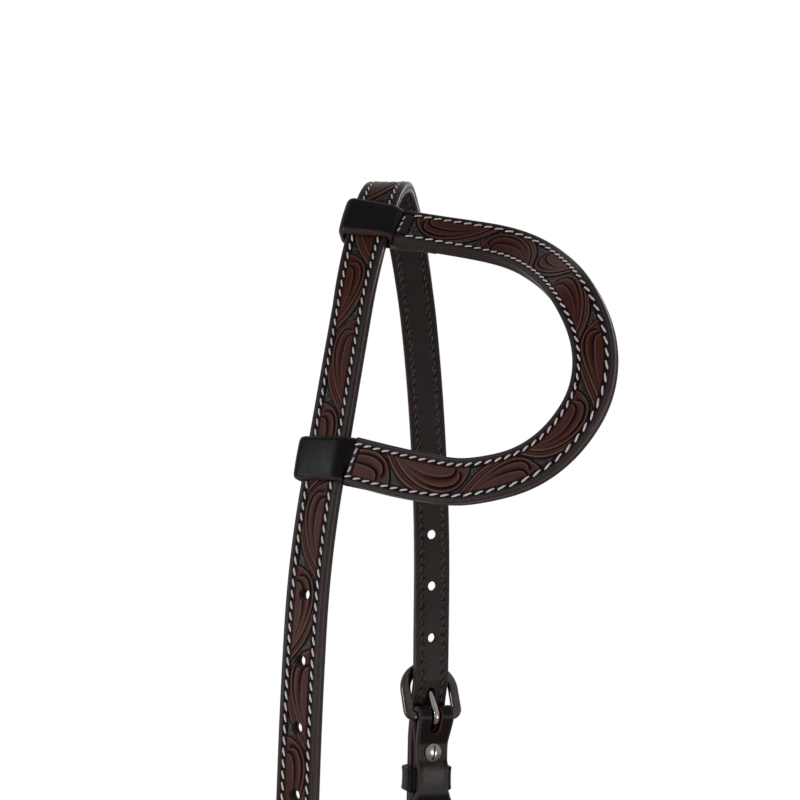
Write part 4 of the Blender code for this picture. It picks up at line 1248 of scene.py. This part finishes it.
def rounded(corners, count):
    """A smooth closed outline through corners given as (x, y, radius)."""
    outline = []
    for n, (x, y, radius) in enumerate(corners):
        here = np.array((x, y))
        back = np.array(corners[n - 1][:2]) - here
        ahead = np.array(corners[(n + 1) % len(corners)][:2]) - here
        start = here + back / np.linalg.norm(back) * radius
        end = here + ahead / np.linalg.norm(ahead) * radius
        for t in np.linspace(0, 1, count):
            outline.append((1 - t) ** 2 * start + 2 * t * (1 - t) * here + t ** 2 * end)
    return np.array(outline)


def ear_loop(name, node, join, sign, anchor, brown):
    """A broad black band folded round the crown strap, whose two ends clasp the ear piece's end."""
    open_wide = STRAP_WIDTH / 2 + LOOP_PLAY_WIDE
    open_high = HALF_STRAP + LOOP_PLAY_THICK
    wide, high = open_wide + LOOP_WALL, open_high + LOOP_WALL
    tail_out = -HALF_STRAP - PLAY
    stops = [-LOOP_LENGTH / 2 + gap * MM for gap in LOOP_ROWS]
    stops = stops + [0.0] + [-stop for stop in reversed(stops)]
    rings, work = [], []
    for across in stops:
        rim = LOOP_LENGTH / 2 - abs(across)
        tuck = LOOP_EASE * (1 - math.sqrt(max(0.0, 1 - max(0.0, 1 - rim / LOOP_EASE) ** 2)))
        tuck += LOOP_CREASE_DEEP * float(bell(rim - LOOP_CREASE_AT, LOOP_CREASE_WIDE))
        tuck += LOOP_HOLLOW * (across / (LOOP_LENGTH / 2)) ** 2

        def crown(forward, out):
            return np.array(RIGHT.spot(float(join - sign * across), float(forward), float(out)))

        def ear(along, out):
            return EAR.spot(anchor + sign * along, across, out)

        joint = ear(-JOINT_OVER, HALF_STRAP - tuck * 0.25)
        shoulder = [crown(x * MM, y * MM - tuck * 0.6) for x, y in LOOP_SHOULDER]
        guide = [joint, 0.5 * (joint + shoulder[0]) + (shoulder[0] - joint) * 0.06] + shoulder
        ring = list(through(guide + [crown(LOOP_FLAT_AT, high - tuck)], 3))
        ring += [crown(x * MM, high - tuck + LOOP_BELLY * (1 - abs(x) / 7)) for x in (3.0, 0.0, -3.0, -6.0)]
        ring += [crown(*point) for point in arc((-wide + LOOP_FRONT_ROUND, high - LOOP_FRONT_ROUND),
                                                LOOP_FRONT_ROUND - tuck, math.pi / 2, math.pi, 9)]
        ring += [crown(*point) for point in arc((-wide + LOOP_BACK_ROUND, -high + LOOP_BACK_ROUND),
                                                LOOP_BACK_ROUND - tuck, math.pi, 1.5 * math.pi, 9)]
        ring += [crown(x, -high + tuck) for x in (-LOOP_BACK_AT, 0.0, LOOP_BACK_AT, open_wide)]
        for along in np.linspace(TAIL_START, LOOP_TAIL, 14):
            thick = blend(TAIL_END_WALL, LOOP_WALL, 1 - (along - TAIL_START) / (LOOP_TAIL - TAIL_START))
            ring.append(ear(along, tail_out - max(TAIL_THINNEST, thick - tuck * 0.6)))
        ring += [ear(along, tail_out) for along in np.linspace(LOOP_TAIL, 0, 12)]
        ring += [ear(-TAIL_OVER, tail_out), ear(-TAIL_OVER, HALF_STRAP - TAIL_RISE)]
        rings.append(ring)
        work.append([(0.0, 0.0, float(smooth((brown - rim) / BROWN_FADE)), 0.0)] * len(ring))
    piece = finished(np.array(rings), np.array(work), name, BLACK, "ear_piece")
    corners = ((-open_wide, open_high), (open_wide, open_high), (open_wide, -open_high),
               (-open_wide, -open_high))
    opening = rounded([(*corner, LOOP_OPENING_ROUND) for corner in corners], 5)
    reach = LOOP_LENGTH / 2 + 2 * MM
    holes = [[np.array(RIGHT.spot(float(join - sign * across), float(x), float(y))) for x, y in opening]
             for across in np.linspace(-reach, reach, 13)]
    cut_away(piece, [tube(holes)], BLACK)
    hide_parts(node)


# Cheeks


CHEEK_LEAVES = (-20 * MM, 45 * MM, 110 * MM, 175 * MM)
CARVING_START = 41 * MM
CARVING_END = THIRD_SCREW_AT - 8 * MM
CARVING_FADE = 3 * MM
CHEEK_STITCHES = (43 * MM, THIRD_SCREW_AT - 9 * MM)
CHEEK_BACK_STITCHES = (UPPER_TAIL_END + 2 * MM, LOWER_TAIL_END - 2 * MM)
BACK_FACE = TAIL_MID - LAYER_THICK / 2
POST_HOLE_SIDES = 32
FOLD_STEPS = 40
COURSE_PROBE = 0.5 * MM
WRINKLE_DEEP = 0.050 * MM
# painted sheen on the bowed tail over the keeper, and more of it on the wrinkles' crests
PAINTED_SHEEN = 0.26
PAINTED_SHEEN_RIDGE = 0.30
PLAIN_DARK = 0.15
BOW_ABOVE = 3 * MM
BOW_REACH = 6 * MM


class Cheek:
    """One cheek's run below its heel bar."""

    def __init__(self, route):
        self.route = route

    def frames(self, below):
        return self.route.frames(self.route.bar + below)

    def halves(self, below):
        """Half the cheek's width, this far below the heel bar."""
        half = blend(FOLD_WIDTH, NECK_WIDTH, smooth(below / NECK_AT))
        half = blend(half, FLARE_WIDTH, smooth((below - FLARE_START) / (FLARE_FULL - FLARE_START)))
        return blend(half, BIT_WIDTH, smooth((below - FLARE_END) / (TAPER_END - FLARE_END))) / 2


def cheek_course():
    """The cheek strap's mid-line from its upper tail, over the bar, down and round the bit loop."""
    start = KEEPER_AT - KEEPER_LENGTH / 2 - PLAY
    end = KEEPER_AT + KEEPER_LENGTH / 2 + KEEPER_SLIDE + PLAY
    bowed = TAIL_MID - KEEPER_INNER_WALL - PLAY
    half_way = (TAIL_MID + bowed) / 2
    points = [(UPPER_TAIL_END, TAIL_MID), (end + RAMP_LENGTH + 1 * MM, TAIL_MID),
              (end + RAMP_LENGTH / 2, half_way), (end, bowed), ((start + end) / 2, bowed), (start, bowed),
              (start - RAMP_LENGTH / 2, half_way), (start - RAMP_LENGTH, TAIL_MID), (TAIL_MEETS, TAIL_MID)]
    fold = (0, BAR_OUT)
    leave = tangent_angle(fold, FOLD_RADIUS, (TAIL_MEETS, TAIL_MID), -1)
    points += arc(fold, FOLD_RADIUS, leave, math.pi / 2 - 2 * math.pi, FOLD_STEPS)
    points += [(below, CHEEK_FACE_MID) for below in np.linspace(1 * MM, CHEEK_LENGTH - 1 * MM, 80)]
    bit = (CHEEK_LENGTH, CHEEK_FACE_MID - BIT_FOLD_MID)
    meet = tangent_angle(bit, BIT_FOLD_MID, (BIT_FOLD_MEETS, TAIL_MID), 1) - 2 * math.pi
    points += arc(bit, BIT_FOLD_MID, math.pi / 2, meet, FOLD_STEPS)
    points += [(below, TAIL_MID) for below in np.linspace(BIT_FOLD_MEETS, LOWER_TAIL_END, 12)]
    return evenly(softened(evenly(points, CHEEK_STEP), 3), CHEEK_STEP)


def cheek_relief(below, carving, outer):
    """Carving and stitches where the cheek's outer face is broad; plain black leather elsewhere."""
    inner = tooled_relief(below, carving, STITCH_INSET, BORDER_GAP)
    face = smooth((below - CARVING_START) / CARVING_FADE)
    face = face * smooth((CARVING_END - below) / CARVING_FADE) * outer
    bowed = bell(below - KEEPER_AT + BOW_ABOVE, BOW_REACH) * (1 - outer)

    def relief(u, halves):
        """The bowed tail over the keeper is wrinkled, with a painted sheen that is stronger on the wrinkles'
        crests.
        """
        height, colours = inner(u, halves)
        ripple = np.sin(below / (0.27 * MM) + 1.1 * np.sin(u / (1.0 * MM) + below / (0.8 * MM)))
        patches = np.sin(u / (1.3 * MM) + 2.2 * np.sin(below / (0.9 * MM) + u / (2.3 * MM)))
        ripple *= np.clip(0.7 * patches + 0.4, 0, 1)
        # a pale painted sheen over the bow above the keeper
        painted_sheen = bowed * (PAINTED_SHEEN + PAINTED_SHEEN_RIDGE * np.clip(ripple, 0, 1))
        colours[:, 0] *= face
        colours[:, 1] = np.maximum(colours[:, 1] * face, (1 - face) * PLAIN_DARK)
        colours[:, 3] = colours[:, 3] * face + painted_sheen * smooth((halves - np.abs(u) - 1.2 * MM) / (3 * MM))
        return height * face + WRINKLE_DEEP * ripple * bowed, colours
    return relief


def cheek_holes(route):
    """The tongue's slot and the posts' holes."""
    depth = FOLD_RADIUS + LAYER_THICK + 2 * MM
    slot = [(SLOT_HALF, depth), (-SLOT_HALF, depth)]
    slot += arc((0, SLOT_HALF - SLOT_END), SLOT_HALF, math.pi, 2 * math.pi, 20)
    parts = [pillar(slot, -depth, depth, route.upright(route.bar, BAR_OUT))]
    for station in SCREW_STATIONS:
        parts.append(pillar(circle(POST_HOLE_RADIUS, POST_HOLE_SIDES), -STRAP_THICK, STRAP_THICK,
                            route.upright(route.bar + station, (CHEEK_FACE_MID + TAIL_MID) / 2)))
    return parts


def add_cheek(side, route):
    strap = Cheek(route)
    course = cheek_course()
    ahead = unit(np.gradient(course, axis=0))
    normal = np.stack([-ahead[:, 1], ahead[:, 0]], 1)
    below, out = course[:, 0], course[:, 1]
    outer = ((np.arange(len(below)) > np.argmax(normal[:, 1] < -0.9)) & (normal[:, 1] > 0.9)).astype(float)
    outer *= smooth((below - 2 * MM) / (3 * MM))
    places, forward, outward = strap.frames(below)
    down = unit(strap.frames(below + COURSE_PROBE)[0] - strap.frames(below - COURSE_PROBE)[0])
    facing = down * normal[:, :1] + outward * normal[:, 1:]
    frames = (places + outward * out[:, None], forward, facing)
    field = FLARE_WIDTH / 2 - STITCH_INSET - BORDER_GAP
    carving = carve(CHEEK_LENGTH, field, CHEEK_LEAVES, CHEEK_SEED)
    rings, work = layer_rings(frames, strap.halves(below), -LAYER_THICK / 2, LAYER_THICK / 2, CHEEK_ACROSS,
                              cheek_relief(below, carving, outer))
    piece = finished(rings, work, side + "_cheek", TOOLED, "headstall")
    cut_away(piece, cheek_holes(route), RAW)
    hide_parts(side + "_cheek_tooled")
    start, end = UPPER_TAIL_END + PLAY, LOWER_TAIL_END - PLAY
    stations = np.linspace(start, end, round((end - start) / CHEEK_BACK_STEP) + 1)
    piece = back_layer(side + "_cheek_back", "headstall", strap, stations, TAIL_MID + LAYER_THICK / 2,
                       BACK_FACE, STITCH_INSET)
    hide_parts(side + "_cheek_lining")
    add_stitches(side + "_cheek_stitches", PALE_STITCH, "headstall", strap, CHEEK_STITCHES, STITCH_INSET,
                 FACE_TOP)
    add_stitches(side + "_cheek_back_stitches", DARK_STITCH, "headstall", strap, CHEEK_BACK_STITCHES,
                 STITCH_INSET, BACK_FACE)


# Metal


FRAME_SIDES = 24
CORNER_STEPS = 12
BOW_STEPS = 64
SECTION_POWER = 0.85
TONGUE_SIDES = 20
TONGUE_FULLNESS = 1.06
TONGUE_TIP_REACH = 1.2
TONGUE_STOPS = (0.85, 0.65, 0.5, 0.35, 0.2, 0.08)
HOOK_STEPS = 40
TURNED_SIDES = 48
SHARP_EDGE = 40
HEAD_EASE = 0.35 * MM
SEAT_BEVEL = 0.15 * MM
BARREL_WALL = 0.5 * MM
HEAD_MIDDLE = 0.3 * MM
SCREW_MIDDLE = 1.2 * MM
SLOT_REACH = 6 * MM
SLOT_ABOVE = 1 * MM
SCREW_EDGE = 0.45 * MM
SCREW_SLOT_HALF = 0.55 * MM
SCREW_SLOT_DEEP = 0.95 * MM
KEEPER_EDGE = 0.9 * MM
KEEPER_FACE_START = 1.6 * MM
KEEPER_HOLLOW = -0.12
KEEPER_FLARE = 0.60
KEEPER_BACK_SOFT = 0.7
KEEPER_SOFT = (1.7 * MM, 5.4 * MM)


def swept(rows, sides, closed, spot):
    """Rings across a line of (point, share) rows; spot gives one point of a ring."""
    rings = []
    for i, (point, share) in enumerate(rows):
        back = rows[i - 1 if closed or i else 0][0]
        ahead = rows[(i + 1) % len(rows) if closed else min(len(rows) - 1, i + 1)][0]
        along = Vector((ahead[0] - back[0], ahead[1] - back[1])).normalized()
        rings.append([spot(point, share, along, 2 * math.pi * (k + 0.5) / sides) for k in range(sides)])
    return rings


def squared(value):
    """A sine or cosine that makes a section's sides a little flatter."""
    return math.copysign(abs(value) ** SECTION_POWER, value)


def buckle_frame(side, place):
    """A D-shaped frame, rounded in section, with a straight heel bar between its lower corners."""
    inner = FRAME_HALF_WIDTH - FRAME_CORNER
    rise = FRAME_REACH - FRAME_HALF_WIDTH
    corner = arc((inner, FRAME_CORNER), FRAME_CORNER, -math.pi / 2, 0, CORNER_STEPS)
    rows = [((x, 0.0), 0.0) for x in np.linspace(0, inner, 12)[:-1]]
    rows += [(point, i / CORNER_STEPS) for i, point in enumerate(corner)]
    for angle in (math.pi * i / BOW_STEPS for i in range(BOW_STEPS + 1)):
        rows.append(((FRAME_HALF_WIDTH * math.cos(angle), FRAME_HALF_WIDTH + rise * math.sin(angle)), 1.0))
    rows += [((-x, y), (CORNER_STEPS - i) / CORNER_STEPS) for i, (x, y) in enumerate(reversed(corner))]
    rows += [((x, 0.0), 0.0) for x in np.linspace(-inner, 0, 12)[1:-1]]

    def spot(point, share, along, angle):
        wide = blend(BAR_RADIUS, FRAME_SIDE_HALF, float(smooth(share))) * squared(math.cos(angle))
        thick = blend(BAR_RADIUS, FRAME_THICK_HALF, float(smooth(share))) * squared(math.sin(angle))
        return place @ Vector((point[0] + along[1] * wide, point[1] - along[0] * wide, thick))

    rings = swept(rows, FRAME_SIDES, True, spot)
    piece = add_mesh(side + "_frame", *tube(rings, True), STEEL, side + "_buckle")
    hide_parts(side + "_buckle_frame")


def buckle_tongue(side, place):
    """A straight shank with a rounded tip, bent round the heel bar into an eye."""
    heel, rest = shank_line()
    slope = Vector((rest[0] - heel[0], rest[1] - heel[1])).normalized()
    tip = Vector(heel) + slope * (TONGUE_LENGTH - heel[0]) / slope[0]
    points = [(tip - slope * TONGUE_HALF_THICK * TONGUE_TIP_REACH * (1 - math.cos(turn)), math.sin(turn))
              for turn in np.linspace(0.12, math.pi / 2, 7)]
    points += [(Vector(heel).lerp(tip, share), 1.0) for share in TONGUE_STOPS]
    start = math.atan2(heel[1], heel[0])
    mouth = 2 * TONGUE_HALF_THICK + TONGUE_MOUTH
    end = start + math.acos(1 - mouth / HOOK_RADIUS) - 2 * math.pi
    hook = [Vector(point) for point in arc((0, 0), HOOK_RADIUS, start, end, HOOK_STEPS)]
    points += [(point, 1.0) for point in hook[:-2]] + [(hook[-2], 0.85), (hook[-1], 0.5)]

    def spot(point, share, along, angle):
        wide = TONGUE_HALF_WIDTH * share * math.cos(angle)
        thick = TONGUE_HALF_THICK * share * math.sin(angle) * TONGUE_FULLNESS
        return place @ Vector((wide, point[0] - along[1] * thick, point[1] + along[0] * thick))

    rings = swept(points, TONGUE_SIDES, False, spot)
    piece = add_mesh(side + "_tongue_fine", *tube(rings), TONGUE_STEEL, side + "_tongue")
    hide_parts(side + "_buckle_tongue")


def keeper(side, route):
    """A rolled black band round the crown strap and the cheek's outer layer."""
    low = FACE_TOP - LAYER_THICK - PLAY
    high = BAR_RISE + HEAD_RISE + HALF_STRAP + PLAY
    place = route.upright(route.bar + KEEPER_AT)
    half = KEEPER_LENGTH / 2
    edge = [(-half + KEEPER_EDGE * (1 - math.sin(turn)), 0.5 - 0.5 * math.cos(turn))
            for turn in np.linspace(0, math.pi, 9)]
    middle = [(y, 1.0) for y in np.linspace(-half + KEEPER_FACE_START, half - KEEPER_FACE_START, 9)]
    rings = []
    for y, grow in edge + middle + [(-y, grow) for y, grow in reversed(edge)]:
        belly = (KEEPER_HOLLOW + KEEPER_FLARE * (y / half) ** 4) * MM * (grow > 0.99)
        wide = KEEPER_HALF + KEEPER_WALL * grow + belly
        top = high + KEEPER_WALL * grow + belly
        bottom = low - KEEPER_INNER_WALL * grow
        soft = blend(*KEEPER_SOFT, grow)
        back = soft * KEEPER_BACK_SOFT
        outline = rounded(((-wide, top, soft), (wide, top, soft), (wide, bottom, back),
                           (-wide, bottom, back)), 7)
        rings.append([place @ Vector((x, y, z)) for x, z in outline])
    piece = add_mesh(side + "_keeper_fine", *tube(rings, True), BLACK, side + "_keeper_band")
    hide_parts(side + "_keeper")


def turned(profile, place):
    """Points and faces turned about the frame's Z from (radius, height) rows."""
    angles = 2 * math.pi * np.arange(TURNED_SIDES) / TURNED_SIDES
    rings = [[place @ Vector((radius * math.cos(a), radius * math.sin(a), height)) for a in angles]
             for radius, height in profile]
    return tube(rings)


def screw_pair(name, place, slot_turn):
    """A post with a flat round head on the outer side, and the domed, slotted screw that closes it."""
    seat = FACE_TOP + PLAY
    top = seat + HEAD_THICK
    ease = HEAD_EASE
    post = [(HEAD_MIDDLE, top)]
    post += [(HEAD_RADIUS - ease + ease * math.sin(a), top - ease + ease * math.cos(a))
             for a in np.linspace(0, math.pi / 2, 6)]
    post += [(HEAD_RADIUS, seat + SEAT_BEVEL), (HEAD_RADIUS - SEAT_BEVEL, seat), (BARREL_RADIUS, seat),
             (BARREL_RADIUS, BACK_FACE), (BARREL_RADIUS - BARREL_WALL, BACK_FACE)]
    piece = add_mesh(name + "_head", *turned(post, place), SCREW_STEEL, "headstall", sharp=SHARP_EDGE)
    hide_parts(name + "_post")
    head = BACK_FACE - PLAY
    screw = [(HEAD_RADIUS * share, head - SCREW_EDGE - (SCREW_DOME - SCREW_EDGE) * (1 - share ** 2.4))
             for share in np.linspace(0.06, 1.0, 12)]
    screw += [(HEAD_RADIUS, head), (SCREW_MIDDLE, head)]
    piece = add_mesh(name + "_slotted", *turned(screw, place), SCREW_STEEL, "headstall", sharp=SHARP_EDGE)
    wide, reach, crest = SCREW_SLOT_HALF, SLOT_REACH, head - SCREW_DOME
    box = [(wide, reach), (-wide, reach), (-wide, -reach), (wide, -reach)]
    turn = Matrix.Rotation(math.radians(slot_turn), 4, "Z")
    cut_away(piece, [pillar(box, crest - SLOT_ABOVE, crest + SCREW_SLOT_DEEP, place @ turn)], STEEL)
    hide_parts(name + "_screw")


# Each screw's name and how its slot is turned, from the top down
SCREWS = (("upper_buckle_end", 8), ("lower_buckle_end", 64), ("upper_bit_end", -35), ("lower_bit_end", 20))

add_crown()
add_ear()
ear_loop("upper_loop", "ear_upper_loop", UPPER_JOIN_AT, 1, 0.0, UPPER_LOOP_BROWN)
ear_loop("lower_loop", "ear_lower_loop", LOWER_JOIN_AT, -1, EAR.length, LOWER_LOOP_BROWN)
for side, route in SIDES:
    add_cheek(side, route)
    heel = route.upright(route.bar, BAR_OUT) @ Matrix.Rotation(FRAME_LEAN, 4, "X")
    buckle_frame(side, heel)
    buckle_tongue(side, heel)
    keeper(side, route)
    for (screw, slot_turn), below in zip(SCREWS, SCREW_STATIONS):
        screw_pair(side + "_" + screw, route.upright(route.bar + below), slot_turn)


# Stage


FLOOR_DROP = 0.012
FLOOR_RADIUS = 0.75
FLOOR_SIDES = 64
FLOOR_COLOUR = (0.86, 0.86, 0.86, 1)
FLOOR_GLOW = 0.25
SURROUND_DIRECT = 0.22
WHITE = (1, 1, 1, 1)
LIGHT_TARGET = Vector((0.0, -0.02, -0.2))
LIGHT_REACH = 1.2
LAMPS = (("left_high", -56, 25, 0.30, 4.5), ("left_low", -60, 0, 0.40, 6.5), ("right_mid", 42, -7, 0.30, 3.5),
         ("right_low", 56, -17, 0.30, 7), ("back", 165, 25, 0.7, 3))
LENS = 63
SENSOR_WIDTH = 36
NEAREST = 0.01
CAMERA_PLACE = (0.0353, -0.6767, -0.1245)
RIGHT_AXIS = (0.9989, 0.0464, -0.0016)
UP_AXIS = (0.0033, -0.0351, 0.9994)
BACK_AXIS = (0.0463, -0.9983, -0.0352)


def floor_finish(nodes):
    """Pale and matt, lifted towards white only where the camera sees it."""
    nodes.give("Base Color", FLOOR_COLOUR)
    nodes.give("Roughness", 0.9)
    nodes.give("Emission Color", WHITE)
    rays = nodes.node("ShaderNodeLightPath").outputs
    nodes.give("Emission Strength", nodes.maths("MULTIPLY", rays["Is Camera Ray"], FLOOR_GLOW))


def add_floor():
    mesh = bpy.data.meshes.new("floor")
    level = cad_box[0].z - FLOOR_DROP
    turns = np.linspace(0, 2 * math.pi, FLOOR_SIDES + 1)[:-1]
    points = [(FLOOR_RADIUS * math.cos(a), FLOOR_RADIUS * math.sin(a), level) for a in turns]
    mesh.from_pydata(points, [], [list(range(FLOOR_SIDES))])
    mesh.materials.append(material("floor_pale", floor_finish))
    placed("floor", mesh)


def world_light():
    """An even pale surround, plain white where the camera or a gloss sees it."""
    world = bpy.data.worlds.new("surround")
    bpy.context.scene.world = world
    nodes = Nodes(world, "Background")
    nodes.give("Color", WHITE)
    rays = nodes.node("ShaderNodeLightPath").outputs
    seen = nodes.maths("MAXIMUM", rays["Is Camera Ray"], rays["Is Glossy Ray"])
    seen = nodes.maths("MAXIMUM", seen, rays["Is Transmission Ray"])
    nodes.give("Strength", nodes.maths("MULTIPLY_ADD", seen, 1 - SURROUND_DIRECT, SURROUND_DIRECT))


def area_light(name, azimuth, elevation, size, power):
    """A round soft lamp, seen from the object at these angles; azimuth 0 is in front, 90 on the right."""
    data = bpy.data.lights.new(name, "AREA")
    data.shape = "DISK"
    data.size = size
    data.energy = power
    light = placed(name, data)
    turn, lift = math.radians(azimuth), math.radians(elevation)
    toward = Vector((math.sin(turn) * math.cos(lift), -math.cos(turn) * math.cos(lift), math.sin(lift)))
    light.location = LIGHT_TARGET + toward * LIGHT_REACH
    light.rotation_mode = "QUATERNION"
    light.rotation_quaternion = toward.to_track_quat("Z", "Y")


def add_camera():
    data = bpy.data.cameras.new("camera")
    data.lens = LENS
    data.sensor_width = SENSOR_WIDTH
    data.clip_start = NEAREST
    camera = placed("camera", data)
    camera.rotation_mode = "QUATERNION"
    camera.rotation_quaternion = Matrix((RIGHT_AXIS, UP_AXIS, BACK_AXIS)).transposed().to_quaternion()
    camera.location = CAMERA_PLACE
    bpy.context.scene.camera = camera
    bpy.context.scene.view_settings.view_transform = "Standard"


add_floor()
world_light()
for lamp in LAMPS:
    area_light(*lamp)
add_camera()
